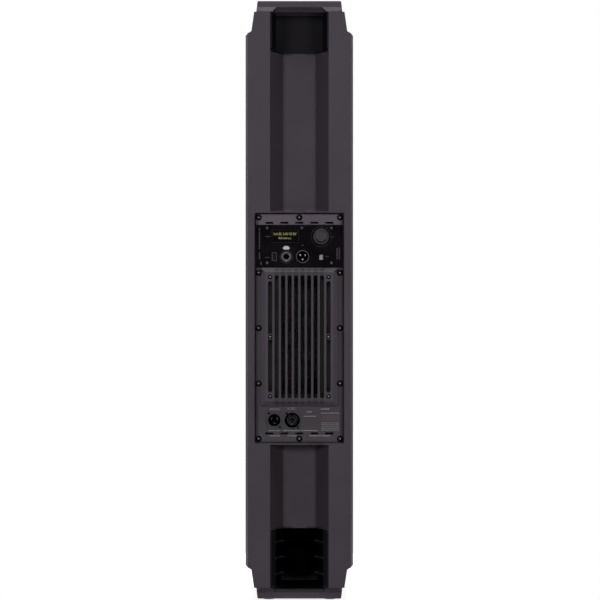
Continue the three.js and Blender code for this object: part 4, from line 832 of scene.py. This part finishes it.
def grille_holes(sheet, low, high, half_at):
    """Adds the perforated field and gives the loop of points round it."""
    reach = HOLE_PITCH / sqrt(3)
    rise = HOLE_PITCH * sqrt(3) / 2
    rows = int((high.z - low.z - 2 * HOLE_MARGIN - 2 * reach) / rise)
    first = (low.z + high.z) / 2 - rise * rows / 2
    uses = {}
    corners = {}

    def key(p):
        return (round(p[0], 2), round(p[1], 2))

    for row in range(rows + 1):
        z = first + row * rise
        narrow = min(half_at(max(low.z, z - reach)), half_at(min(high.z, z + reach)))
        room = min(GRILLE_FLAT, narrow) - HOLE_MARGIN
        count = int((2 * room - HOLE_PITCH) / HOLE_PITCH)
        count -= (count + row) % 2
        for i in range(count + 1):
            x = (i - count / 2) * HOLE_PITCH
            outer = circle(x, z, reach, HEX, TURN / 12)
            inner = circle(x, z, HOLE_RADIUS, HEX, TURN / 12)
            points = [(a, low.y, b) for a, b in outer + inner]
            sheet.add(points, [[k, (k + 1) % HEX, HEX + (k + 1) % HEX, HEX + k] for k in range(HEX)])
            for k in range(HEX):
                pair = frozenset((key(outer[k]), key(outer[(k + 1) % HEX])))
                corners.setdefault(key(outer[k]), outer[k])
                uses[pair] = uses.get(pair, 0) + 1
    return [corners[k] for k in walked(pair for pair, count in uses.items() if count == 1)]


def walked(pairs):
    """The one loop that these pairs of neighbours make, in order."""
    neighbours = {}
    for pair in pairs:
        a, b = tuple(pair)
        neighbours.setdefault(a, []).append(b)
        neighbours.setdefault(b, []).append(a)
    start = min(neighbours)
    loop, before, here = [start], None, start
    while True:
        step = [n for n in neighbours[here] if n != before][0]
        if step == start:
            return loop
        loop.append(step)
        before, here = here, step


def face_outward(made, inner):
    """Turns every face away from an inner point, so that the thickness goes inward everywhere."""
    edit = bmesh.new()
    edit.from_mesh(made.data)
    for face in edit.faces:
        if face.normal.dot(face.calc_center_median() - inner) < 0:
            face.normal_flip()
    edit.to_mesh(made.data)
    edit.free()


def grille():
    low, high = extent("front_grille")
    half_at, levels = grille_outline(low, high)
    sheet = Shape()
    grille_sides(sheet, low, high, half_at, levels)
    hole_loop = grille_holes(sheet, low, high, half_at)
    edge = [(min(GRILLE_FLAT, half_at(z)), z) for z in levels]
    outline = edge + [(-x, z) for x, z in reversed(edge)]
    loops = [[Vector((x, z, 0)) for x, z in loop] for loop in (outline, hole_loop)]
    triangles = tessellate_polygon(loops)
    sheet.add([(x, low.y, z) for x, z in outline + hole_loop], [list(t) for t in triangles])
    made = sheet.object("grille_sheet", 25)
    face_outward(made, Vector((0, high.y, (low.z + high.z) / 2)) * MM)
    made.data.materials.append(MATERIALS["grille_steel"])
    thick = made.modifiers.new("Thick", "SOLIDIFY")
    thick.thickness = GRILLE_THICKNESS * MM
    thick.offset = -1
    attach(made, BODY)
    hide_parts("front_grille")


grille()


# Feet, pole socket, flying points. Heights count from the piece's underside or top.

FEET = 4
FOOT_SCREW = [(0, 0.3), (2.4, 0.3), (2.4, 0.7), (0, 0.7)]
POLE_CUP = [(31, 0), (31, 3), (21, 3), (21, 79), (0, 79), (0, 76), (18, 76), (18, 1.6), (19.6, 0)]
POLE_SCREW = [(0, 0.35), (1.2, 0.35), (1.6, 0.02), (3.4, 0.02), (3.4, 0.8), (0, 0.8)]
POLE_SCREWS = 4
POLE_SCREW_CIRCLE = 26
INSERT = [(0, -24), (8, -24), (8, -2.5), (12, -2.5), (12, -0.3), (11.7, 0), (5.6, 0)]
THREAD_TURNS = 13
THREAD_PITCH = 1.5
THREAD_ROOT, THREAD_CREST = 5.0, 4.2
THREAD_END = -20.3

feet = Shape()
foot_nodes = [f"rubber_foot_{k}" for k in range(1, FEET + 1)]
for node_name in foot_nodes:
    low, high = extent(node_name)
    place = seat(node_name, UNDER)
    radius, tall = (high.x - low.x) / 2, high.z - low.z
    profile = [(0, 0.5), (4, 0.5), (4.6, 0), (radius - 0.6, 0), (radius, 1.2), (radius, tall), (0, tall)]
    turned(feet, eased(profile, 0.4), place, axis="Z")
    turned(feet, FOOT_SCREW, place, FEW, "Z")
add_piece(feet, "feet", "black_rubber", replaces=foot_nodes)

pole = Shape()
pole_place = seat("pole_socket", UNDER)
turned(pole, eased(POLE_CUP, 0.4), pole_place, WIDE, "Z", ring=True)
for at in spread(pole_place, POLE_SCREW_CIRCLE, POLE_SCREWS, TURN / 2 / POLE_SCREWS, "Z"):
    turned(pole, eased(POLE_SCREW, 0.2), at, SMALL, "Z")
# The pole cup is near-black: painted shade, so that it stays dark inside the port.
add_piece(pole, "pole_cup", "basket_steel", replaces=["pole_socket"], material=black_and_painted_shade)

thread = []
for k in range(THREAD_TURNS):
    depth = -1 - THREAD_PITCH * k
    thread += [(THREAD_ROOT, depth), (THREAD_CREST, depth - THREAD_PITCH / 2)]
thread += [(THREAD_CREST, THREAD_END), (0, THREAD_END)]
for node_name in ("fly_point_rear", "fly_point_front"):
    insert = Shape()
    turned(insert, INSERT + thread, seat(node_name, TOP), axis="Z")
    insert_name = node_name.replace("fly_point", "threaded_insert")
    add_piece(insert, insert_name, "bare_steel", replaces=[node_name], material=dim_steel)


# Screws: a cupped washer and a domed head with a lobed recess

HEAD_SIDES = 36
CUP_SIDES = 32
LOBES = 6
HEAD_DOME = [(1, 0), (1, 0.35), (0.92, 0.72), (0.7, 1)]  # parts of the head's radius and of its rise
RECESS_FLOOR = (0.9, 0.25)  # part of the recess's size, and of the rise

# The radius of the head, the radius of the cup under it and the rise of the head.
PANEL_SCREW = (3.5, 5.6, 1.6)
VENT_SCREW = (3.3, 0, 1.6)
FASCIA_SCREW = (2.6, 3.1, 0.9)
MAINS_SCREW = (2.1, 0, 0.8)
PANEL_GLINT_PIN, VENT_GLINT_PIN = 1.2, 1.3

PANEL_INSET_X, PANEL_INSET_Z = 4.7, 5.6
VENT_SCREW_X, VENT_SCREW_STEP, VENT_SCREW_SINK = 51.3, 105, 3
FASCIA_SCREW_PLACES = [(-56.8, 655.1), (56.8, 655.1), (-4.6, 655.1), (-56.8, 593.4), (56.8, 593.4)]
FLANGE_SCREW_X, FLANGE_SCREW_Z = 9.8, 12
FLANGE_FOOT, FLANGE_FACE = 0.3, 2.3  # of the mains sockets, above the panel
LENS_TO_FACE = 0.7  # from the middle of the display lens to the fascia's face
SIDES = (-1, 1)

panel_low, panel_high = extent("amp_panel")
panel_face = panel_high.y
panel_mid = (panel_low.z + panel_high.z) / 2
vent_low, vent_high = extent("vent_cover")
vent_mid = (vent_low.z + vent_high.z) / 2
fascia_face = centre("display_lens").y + LENS_TO_FACE


def lobed(radius):
    """The outline of a lobed recess."""
    points = []
    for k in range(HEAD_SIDES):
        angle = TURN * k / HEAD_SIDES
        r = radius * (0.86 + 0.14 * cos(LOBES * angle))
        points.append((r * cos(angle), r * sin(angle)))
    return points


def screw(heads, cups, place, size):
    """A screw whose head bears at the place and stands towards +Y. A cup of radius 0 is left out."""
    x, y, z = place
    head, cup, rise = size
    if cup:
        bore = head + 0.25
        ring = [(bore, 0), (cup, 0), (cup, 0.35), (cup - 0.5, 0.75), (bore + 0.45, 0.75), (bore, 0.3)]
        hoop(cups, ring, 0.15, place, CUP_SIDES)
    recess = lobed(head / 2)
    shrink, floor_rise = RECESS_FLOOR
    levels = [(circle(0, 0, head * part, HEAD_SIDES), rise * up) for part, up in HEAD_DOME]
    levels += [(recess, rise), ([(a * shrink, b * shrink) for a, b in recess], rise * floor_rise)]
    points = [(x + a, y + up, z + b) for outline, up in levels for a, b in outline]
    faces = [
        [r + k, r + (k + 1) % HEAD_SIDES, r + HEAD_SIDES + (k + 1) % HEAD_SIDES, r + HEAD_SIDES + k]
        for r in range(0, len(points) - HEAD_SIDES, HEAD_SIDES)
        for k in range(HEAD_SIDES)
    ]
    faces.append(list(range(len(points) - HEAD_SIDES, len(points))))
    faces.append(list(range(HEAD_SIDES)))
    heads.add(points, faces)


def glint_pin(shape, place, radius):
    """A pale pin in the middle of a screw's recess: a painted highlight standing for the glint on the dark
    head.
    """
    profile = [(0, 0.3), (radius, 0.3), (radius, 1.5), (radius - 0.3, 1.75), (0, 1.75)]
    turned(shape, eased(profile, 0.15), place, SMALL)


heads, cups, small_heads, glint_pins = Shape(), Shape(), Shape(), Shape()
screw_x = panel_high.x - PANEL_INSET_X
screw_z = (panel_high.z - panel_low.z) / 2 - PANEL_INSET_Z
panel_places = [(side * screw_x, panel_mid + row * screw_z / 2) for side in SIDES for row in range(-2, 3)]
panel_places += [(0, panel_mid - screw_z), (0, panel_mid + screw_z)]
for x, z in panel_places:
    screw(heads, cups, (x, panel_face, z), PANEL_SCREW)
    glint_pin(glint_pins, (x, panel_face, z), PANEL_GLINT_PIN)
for side in SIDES:
    for row in (-1, 0, 1):
        at = (side * VENT_SCREW_X, vent_high.y - VENT_SCREW_SINK, vent_mid + row * VENT_SCREW_STEP)
        screw(heads, cups, at, VENT_SCREW)
        glint_pin(glint_pins, at, VENT_GLINT_PIN)
for x, z in FASCIA_SCREW_PLACES:
    screw(small_heads, cups, (x, fascia_face, z), FASCIA_SCREW)
for node_name in ("mains_inlet", "mains_outlet"):
    mid = centre(node_name)
    for side in SIDES:
        at = (mid.x + side * FLANGE_SCREW_X, panel_face + FLANGE_FACE, mid.z + side * FLANGE_SCREW_Z)
        screw(heads, cups, at, MAINS_SCREW)
add_piece(heads, "screw_heads", "bare_steel", material=blackened)
add_piece(small_heads, "fascia_screws", "bare_steel", material=screw_grey)
# The cups round the screws are near-black: painted shade for the dark recesses round the heads.
add_piece(cups, "screw_cups", "plastic_black", material=black_and_painted_shade)
# The pale pins are painted highlights: the glint on each dark screw head.
add_piece(glint_pins, "screw_glint_pins", "bare_steel", material=slider_grey)


# Control knob: fluted skirt, groove, dished crown, and a black arc on the crown's lower side as painted
# shadow

# How far each point is set back from the knob's radius, and its place along the axis.
KNOB_SKIRT = [(0, 0), (0, 2.6), (1.5, 3.1), (1.5, 3.9), (0.3, 4.1), (0.5, 7.2)]
KNOB_CROWN = [(1.3, 8), (2.6, 8), (2.9, 7.1), (3.7, 7.1), (4.1, 7.8)]
KNOB_SIDES = 240
KNOB_DISH = 7.2
FLUTES = 40
FLUTE_DEPTH = 0.35
# A black arc on the lower side of the dished crown: painted shadow, not a groove.
CROWN_SHADOW_ARC = [(8.6, 7.3), (10.2, 7.3), (10.2, 7.85), (8.6, 7.75)]
CROWN_SHADOW_SPAN = (TURN * 0.58, TURN * 0.92)
CROWN_SHADOW_SIDES = 40
COLLAR = [(16.9, 0.2), (18.2, 0.2), (18.2, 0.42), (17.9, 0.55), (17.2, 0.55), (16.9, 0.42)]

low, high = extent("control_knob")
knob_place = seat("control_knob", FRONT)
knob_radius = (high.x - low.x) / 2


def flutes(angle, radius, along):
    """What the flutes add to the radius of the skirt: nothing, or less."""
    if radius < knob_radius - 0.7 or along < 0.4:
        return 0.0
    return -FLUTE_DEPTH * (0.5 + 0.5 * cos(FLUTES * angle)) ** 3


knob = Shape()
profile = [(0, 0), *[(knob_radius - back, along) for back, along in KNOB_SKIRT + KNOB_CROWN], (0, KNOB_DISH)]
turned(knob, eased(profile, 0.35), knob_place, KNOB_SIDES, swell=flutes)
add_piece(knob, "knob_cap", "knob_grey", "knob", ["control_knob"], crease=45)
painted_shade = Shape()
turned(painted_shade, CROWN_SHADOW_ARC, knob_place, CROWN_SHADOW_SIDES, ring=True, arc=CROWN_SHADOW_SPAN)
add_piece(painted_shade, "knob_shadow_crescent", "plastic_black", "knob", material=black_and_painted_shade)
collar_place = (knob_place[0], fascia_face, knob_place[2])
turned_piece("knob_collar", COLLAR, 0.1, collar_place, FINE, True, material=collar_grey)


# Sockets on the fascia. Depths count from the socket's rear face.

COMBO_BARREL = [(0, -27), (11.8, -27), (11.8, 0), (9.9, 0), (9.6, -12), (8.4, -12), (4.6, -12)]
COMBO_BORE = [(3.5, -13), (3.4, -21), (0, -21)]
COMBO_CORE = [(8.3, -11.9), (8.7, -0.3), (5.7, -0.3), (4.9, -3), (3.6, -3), (3.5, -11.9)]
COMBO_WELL = [(4.85, -2.9), (3.62, -2.9), (3.62, -11.8), (3.42, -11.8), (3.42, -2.4), (4.7, -2.4)]
CONTACTS = 3
CONTACT_CIRCLE = 7.2
CONTACT_SINK = 0.3
CONTACT_RIM = [(0.75, 0.02), (1.1, 0.02), (1.1, -0.4), (0.75, -0.4)]
CONTACT_ENTRY = [(0, -0.3), (0.75, -0.3), (0.75, 0.01), (0, 0.01)]
LINK_SHELL = [(0, -25), (11.6, -25), (11.6, 0), (9.9, 0), (9.5, -0.5), (9.5, -13), (0, -13)]
LINK_RIM = [(11.3, -0.2), (11.3, 0.1), (10.2, 0.1), (9.9, -0.2)]
LINK_KEY_DROP, LINK_KEY_WIDTH, LINK_KEY_HEIGHT, LINK_KEY_EASE = 8.6, 3.2, 2.2, 0.4
LINK_FLOOR, LINK_KEY_END = 13, 1
PINS = 3
PIN_CIRCLE = 4.9
PIN_FOOT = 13.2
PIN = [(1.5, 0), (1.5, 10.3), (1.2, 10.9), (0.6, 11.15), (0, 11.2)]
LATCH_FOOT, LATCH_TOP = 4.5, 3.0  # half widths
LATCH_SHOULDER = 0.42  # part of its height
SLIDER_RIB = 0.6
RIB_PITCH, RIB_HALF, RIB_INSET, RIB_SINK = 1.5, 0.4, 0.5, 0.1
SERVICE_WALL = 1.1

combo_place = seat("combo_input", REAR)
x, y, z = combo_place
turned_piece("combo_barrel", COMBO_BARREL + COMBO_BORE, 0.35, combo_place, replaces=["combo_input"])
turned_piece("combo_core", COMBO_CORE, 0.3, combo_place, WIDE, True, material=socket_rim)
turned_piece("combo_well", COMBO_WELL, 0.1, combo_place, ROUND, True, material=black_and_painted_shade)
contacts, entries = Shape(), Shape()
for at in spread((x, y - CONTACT_SINK, z), CONTACT_CIRCLE, CONTACTS, TURN / 4 + TURN / 2 / CONTACTS):
    hoop(contacts, CONTACT_RIM, 0.1, at, SMALL)
    turned(entries, CONTACT_ENTRY, at, SMALL)
add_piece(contacts, "combo_contacts", "bare_steel")
add_piece(entries, "combo_entries", "black_rubber")

link_place = seat("link_output", REAR)
x, y, z = link_place
link = Shape()
turned(link, eased(LINK_SHELL, 0.35), link_place, WIDE)
key = rounded(x, z - LINK_KEY_DROP, LINK_KEY_WIDTH, LINK_KEY_HEIGHT, LINK_KEY_EASE)
prism(link, key, y - LINK_FLOOR, y - LINK_KEY_END)
add_piece(link, "link_shell", "plastic_black", replaces=["link_output"], material=black_and_painted_shade)
turned_piece("link_rim", LINK_RIM, 0.08, link_place, WIDE, True, material=link_grey)
pins = Shape()
for at in spread((x, y - PIN_FOOT, z), PIN_CIRCLE, PINS, -TURN / 4):
    turned(pins, PIN, at, SMALL)
add_piece(pins, "link_pins", "bare_steel", material=gilt)

low, high = extent("combo_latch")
mid = (low + high) / 2
shoulder = low.z + LATCH_SHOULDER * (high.z - low.z)
half = [(LATCH_FOOT, low.z), ((high.x - low.x) / 2, shoulder), (LATCH_TOP, high.z)]
latch = Shape()
prism(latch, [(mid.x + a, b) for a, b in half] + [(mid.x - a, b) for a, b in reversed(half)], low.y, high.y)
add_piece(latch, "latch_tab", "pale_grey", "latch", ["combo_latch"], ease=0.25)

low, high = extent("lift_slider")
mid = (low + high) / 2
slider = Shape()
prism(slider, outline_of("lift_slider", 0.6, 3), low.y, high.y - SLIDER_RIB)
for k in range(-2, 3):
    rib = mid.z + k * RIB_PITCH
    foot = (low.x + RIB_INSET, high.y - SLIDER_RIB - RIB_SINK, rib - RIB_HALF)
    block(slider, foot, (high.x - RIB_INSET, high.y, rib + RIB_HALF))
add_piece(slider, "slider_tab", "pale_grey", "slider", ["lift_slider"], ease=0.12, material=slider_grey)

low, high = extent("service_port")
mid = (low + high) / 2
port = Shape()
opening = outline_of("service_port", 0.4, 3, SERVICE_WALL)
prism(port, outline_of("service_port", 0.9, 4), low.y, high.y, [opening])
add_piece(
    port, "service_frame", "galvanised_steel", replaces=["service_port"], ease=0.25, material=socket_grey
)
tongue = Shape()
block(tongue, (low.x + 0.9, low.y + 0.5, low.z + 0.9), (high.x - 0.9, low.y + 2, high.z - 0.9))
block(tongue, (mid.x + 0.2, low.y + 2, low.z + 2.2), (mid.x + 2.0, high.y - 2, high.z - 2.2))
add_piece(tongue, "service_tongue", "plastic_black")


# Mains sockets

FLANGE_CORNER = 5
FLANGE_HOLE = 12.7
MAINS_SHELL = [(0, -25.5), (12.9, -25.5), (12.9, -1.4), (13.4, -1.2), (13.4, -0.3), (13, 0)]
INLET_BORE = [(11.2, 0), (10.6, -0.6), (10.6, -15.2), (0, -15.2)]
INLET_WELL = [(10.57, -0.8), (10.3, -0.8), (10.2, -14.8), (0, -14.8), (0, -15.15), (10.57, -15.15)]
BLADES = 3
BLADE_CIRCLE = 5.6
BLADE_HALF, BLADE_REACH = 0.8, 2.2  # halves of its thickness and width
BLADE_FOOT, BLADE_TIP = 15.3, 4.2
OUTLET_BORE = [(12.3, 0), (11.8, -0.6), (11.8, -15.2)]
OUTLET_POST = [(6.2, -15.2), (6.2, -1.6), (5.8, -1.2), (2.6, -1.2), (2.2, -1.6), (2.2, -15.2), (0, -15.2)]
OUTLET_RING = [(6.2, -1.7), (6.2, -0.9), (5.1, -0.9), (5.1, -1.7)]
POST_RING = [(3.1, -1.7), (3.1, -1.0), (2.5, -1.0), (2.5, -1.7)]
OUTLET_LEDGE = [(9.4, -15.25), (9.4, -14.0), (8.2, -14.0), (8.2, -15.25)]


def flange(shape, node):
    """Adds a mains socket's flange and gives the middle of the socket's rear face."""
    place = seat(node, REAR)
    hole = circle(place[0], place[2], FLANGE_HOLE, WIDE)
    prism(shape, outline_of(node, FLANGE_CORNER), panel_face + FLANGE_FOOT, panel_face + FLANGE_FACE, [hole])
    return place


inlet = Shape()
inlet_place = flange(inlet, "mains_inlet")
x, y, z = inlet_place
turned(inlet, eased(MAINS_SHELL + INLET_BORE, 0.3), inlet_place, WIDE)
add_piece(inlet, "inlet_body", "plastic_black", replaces=["mains_inlet"], ease=0.25, material=socket_grey)
turned_piece("inlet_well", INLET_WELL, 0, inlet_place, material=black_and_painted_shade)
blades = Shape()
inner, outer = BLADE_CIRCLE - BLADE_HALF, BLADE_CIRCLE + BLADE_HALF
blade_box = box_outline(inner, outer, -BLADE_REACH, BLADE_REACH)
for k in range(BLADES):
    angle = -TURN / 4 + TURN * k / BLADES
    c, s = cos(angle), sin(angle)
    outline = [(x + a * c - b * s, z + a * s + b * c) for a, b in blade_box]
    prism(blades, outline, y - BLADE_FOOT, y - BLADE_TIP)
add_piece(blades, "inlet_blades", "bare_steel", ease=0.25, material=dim_steel)

outlet = Shape()
outlet_place = flange(outlet, "mains_outlet")
add_piece(outlet, "outlet_flange", "plastic_black", ease=0.25, material=socket_grey)
socket = Shape()
turned(socket, eased(MAINS_SHELL + OUTLET_BORE + OUTLET_POST, 0.3), outlet_place, WIDE)
add_piece(socket, "outlet_body", "plastic_black", replaces=["mains_outlet"], material=black_and_painted_shade)
rings = Shape()
hoop(rings, OUTLET_RING, 0.15, outlet_place, WIDE)
hoop(rings, POST_RING, 0.15, outlet_place, ROUND)
add_piece(rings, "outlet_rings", "plastic_black", material=socket_grey)
turned_piece("outlet_ledge", OUTLET_LEDGE, 0.15, outlet_place, WIDE, True, material=socket_rim)


# Prints and display: plain marks, with no lettering. Boxes are left, right, foot and top.

SINK = 0.02  # of a mark, into the face that it is printed on
PRINT_RISE = 0.06
GLASS_RISE = 0.05
DASH_GAP = 0.55
PRINT_PITCH, PRINT_THICK = 3, 2.0
PANEL_BLOCKS = [
    (34, 52, 333.6, 337.8),
    (5, 21, 334.8, 338.4),
    (-22, -13, 329, 332.5),
    (-29, -7.5, 321.3, 324.8),
    (-52.7, -38, 333.6, 338),
    (-70, -38, 327, 330),
    (34, 55, 296, 299.5),
    (-0.6, 28.4, 296, 299.5),
    (-32, -3, 296, 299.5),
    (35, 52.7, 286.8, 290.2),
    (5.2, 21.4, 286.8, 290.2),
    (-55, -18, 286.8, 290.2),
]
HEAVY_LINES = [(34, 52, 334.0, 337.0), (5, 21, 335.2, 338.2)]
RATING_LINE, RATING_PITCH, RATING_LINES = (-70, -38, 297.6, 299.4), 3.2, 5
FRAME_BOX, FRAME_LINE = (-70, -40, 315, 325), 0.5
FRAMED_LINE, FRAMED_PITCH, FRAMED_LINES = (-68.5, -42, 316.6, 318.2), 2.8, 3
FASCIA_LINES = [
    (51.5, 60, 639.2, 640.8),
    (52, 60, 602.4, 603.8),
    (-7.5, -3.5, 623.8, 625.2),
    (-61, -57, 638.4, 639.6),
    (-51.5, -46, 604.2, 605.6),
]
# The middle on X, the foot and the top of upright lines.
FASCIA_STRIPS = [(70.3, 600, 612), (70.3, 618, 655), (67.6, 590, 596), (-66.5, 600, 620), (-70.5, 600, 621)]
STRIP_HALF, STRIP_GAP = 1.1, 0.7
UPPER_LEVELS = [(38.4, 45.4), (31.2, 37.2), (19.6, 29.4), (12.8, 18.2), (5.7, 11.4)]
LOWER_LEVELS = [(29.6, 37.4), (21.4, 28.2), (14.5, 20.2)]
UPPER_ROW, LOWER_ROW = (642.4, 648.2), (635.4, 639.9)
BAR_WIDTH, BAR_GAP = 0.75, 0.45


def draws(state):
    """Repeatable numbers between 0 and 1."""
    while True:
        state = (state * 1103515245 + 12345) % 2**31
        yield state / 2**31


def dashes(shape, box, y, seed):
    """A line of print seen from too far off to read: dashes of uneven length."""
    x, end, foot, top = box
    draw = draws(seed)
    while x < end - 0.6:
        length = min(0.9 + 2.4 * next(draw), end - x)
        block(shape, (x, y - SINK, foot), (x + length, y + PRINT_RISE, top))
        x += length + DASH_GAP


def print_lines(shape, box, pitch, count, seed):
    """Lines of print on the panel, upward from the one in the box."""
    left, right, foot, top = box
    for r in range(count):
        dashes(shape, (left, right, foot + pitch * r, top + pitch * r), panel_face, seed + r)


def level_bars(shape, across, row, seed):
    """A block of level bars of uneven height."""
    x, end = across
    foot, top = row
    draw = draws(seed)
    while x + BAR_WIDTH <= end + 0.01:
        tip = foot + (top - foot) * (0.45 + 0.55 * next(draw))
        block(shape, (x, fascia_face - SINK, foot), (x + BAR_WIDTH, fascia_face + GLASS_RISE, tip))
        x += BAR_WIDTH + BAR_GAP


marks = Shape()
for k, (left, right, foot, top) in enumerate(PANEL_BLOCKS):
    thick = min(PRINT_THICK, (top - foot) / 2)
    count = max(1, round((top - foot) / PRINT_PITCH))
    pitch = (top - foot) / count
    line = foot + pitch / 2
    print_lines(marks, (left, right, line - thick / 2, line + thick / 2), pitch, count, 7 * k + 3)
for box in HEAVY_LINES:
    dashes(marks, box, panel_face, 61 + box[1])
print_ink = ink("print_ink", (0.25, 0.235, 0.25), (0.16, 0.15, 0.16))
add_piece(marks, "print_marks", "pale_grey", material=print_ink)

rating = Shape()
print_lines(rating, RATING_LINE, RATING_PITCH, RATING_LINES, 71)
label_ink = ink("label_ink", (0.15, 0.14, 0.15), (0.08, 0.08, 0.08))
add_piece(rating, "panel_marks", "pale_grey", material=label_ink)

faint = Shape()
for k, (x, z, top) in enumerate(FASCIA_STRIPS):
    draw = draws(17 + k)
    while z < top:
        length = 1.2 + 3 * next(draw)
        corner = (x + STRIP_HALF, fascia_face + GLASS_RISE, min(z + length, top))
        block(faint, (x - STRIP_HALF, fascia_face - SINK, z), corner)
        z += length + STRIP_GAP
for k, box in enumerate(FASCIA_LINES):
    dashes(faint, box, fascia_face, 31 + k)
faint_ink = ink("faint_ink", (0.03, 0.029, 0.032), (0.014, 0.014, 0.016))
add_piece(faint, "fascia_marks", "pale_grey", material=faint_ink)

dull = Shape()
left, right, foot, top = FRAME_BOX
window = box_outline(left + FRAME_LINE, right - FRAME_LINE, foot + FRAME_LINE, top - FRAME_LINE)
prism(dull, box_outline(*FRAME_BOX), panel_face - SINK, panel_face + PRINT_RISE, [window])
print_lines(dull, FRAMED_LINE, FRAMED_PITCH, FRAMED_LINES, 91)
dull_ink = ink("dull_ink", (0.085, 0.055, 0.065), (0.05, 0.04, 0.045))
add_piece(dull, "panel_frame_marks", "pale_grey", material=dull_ink)

glow = Surface("display_glow", (0.13, 0.12, 0.02), 0.5)
put(glow.shader, {"Emission Color": (0.62, 0.56, 0.18, 1), "Emission Strength": 0.14})
glow.tint(glow.remap(glow.noise(700, 2), 0.4, 0.7), (0.3, 0.3, 0.06), 0.3)
glow.vary_rough(glow.noise(300, 3), 0.05)
bars = Shape()
levels = [(across, UPPER_ROW) for across in UPPER_LEVELS] + [(across, LOWER_ROW) for across in LOWER_LEVELS]
for k, (across, row) in enumerate(levels):
    level_bars(bars, across, row, 11 + k)
add_piece(bars, "display_levels", "display_glass", material=glow.done())


# Studio: pale floor, white surroundings that the camera sees, soft lights.
# Lights and camera are in metres.

FLOOR = [(0, 0), (400, 0), (400, -12), (0, -12)]
FLOOR_PLACE = (0, -262, -0.4)
WHITE = (1, 1, 1, 1)
AIM = (0, 0.1, 0.5)
# The name, place, target, size and power of each.
LIGHTS = [
    ("key_left", (1.9, 3.9, 1.35), AIM, (0.8, 1.3), 51),
    ("key_right", (-1.9, 3.9, 1.0), AIM, (0.8, 1.3), 40),
    ("bounce", (0, 3.4, -0.9), AIM, (2.0, 0.8), 12),
    ("key_middle", (0.2, 4.5, 1.8), AIM, (1.2, 0.8), 18),
    ("overhead", (0, 0.55, 3.4), (0, 0.1, 0.6), (1.6, 1.0), 72),
    ("right_edge", (-2.6, -0.35, 0.8), (0, 0.05, 0.5), (0.5, 2.2), 46),
    ("left_edge", (2.6, -0.35, 0.8), (0, 0.05, 0.5), (0.5, 2.2), 52),
    ("front", (0, -3.7, 1.9), (0, -0.1, 0.55), (1.8, 2.0), 170),
]
CAMERA_DISTANCE = 4.2
PICTURE_SIZE = 1.0552  # what the picture spans at the cabinet's rear
SENSOR = 36
CAMERA_X, REAR_Y, CAMERA_Z = -0.0012, 0.1375, 0.5281

floor = Shape()
turned(floor, FLOOR, FLOOR_PLACE, FINE, "Z")
floor_object = floor.object("studio_floor")
paint = Surface("studio_floor", (0.3, 0.3, 0.3), 0.85)
paint.tint(paint.remap(paint.noise(3, 4), 0.35, 0.7), (0.27, 0.27, 0.27), 0.4)
paint.vary_rough(paint.noise(20, 3), 0.05)
paint.rise(paint.noise(400, 2), 0.05, 0.2)
put(paint.shader, {"Emission Color": WHITE, "Emission Strength": 0.8})
floor_object.data.materials.append(paint.done())
floor_object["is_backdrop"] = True

scene = bpy.context.scene
scene.view_settings.view_transform = "Standard"
world = bpy.data.worlds.new("studio")
scene.world = world
world.use_nodes = True
tree = world.node_tree
tree.nodes.clear()
ray = tree.nodes.new("ShaderNodeLightPath")
seen = tree.nodes.new("ShaderNodeBackground")
put(seen, {"Color": WHITE, "Strength": 1.0})
fill = tree.nodes.new("ShaderNodeBackground")
put(fill, {"Color": (1, 0.99, 1, 1), "Strength": 0.012})
mix = tree.nodes.new("ShaderNodeMixShader")
out = tree.nodes.new("ShaderNodeOutputWorld")
put(mix, {0: ray.outputs["Is Camera Ray"], 1: fill.outputs[0], 2: seen.outputs[0]})
put(out, {"Surface": mix.outputs[0]})

for name, place, target, size, power in LIGHTS:
    data = bpy.data.lights.new(name, "AREA")
    data.shape = "RECTANGLE"
    data.size, data.size_y = size
    data.energy = power
    lamp = bpy.data.objects.new(name, data)
    scene.collection.objects.link(lamp)
    lamp.location = place
    lamp.rotation_mode = "QUATERNION"
    lamp.rotation_quaternion = (Vector(target) - Vector(place)).to_track_quat("-Z", "Y")

camera_data = bpy.data.cameras.new("camera")
camera_data.sensor_width = SENSOR
camera_data.lens = SENSOR * CAMERA_DISTANCE / PICTURE_SIZE
camera = bpy.data.objects.new("camera", camera_data)
scene.collection.objects.link(camera)
camera.location = (CAMERA_X, REAR_Y + CAMERA_DISTANCE, CAMERA_Z)
camera.rotation_euler = (pi / 2, 0, pi)
scene.camera = camera

low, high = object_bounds()
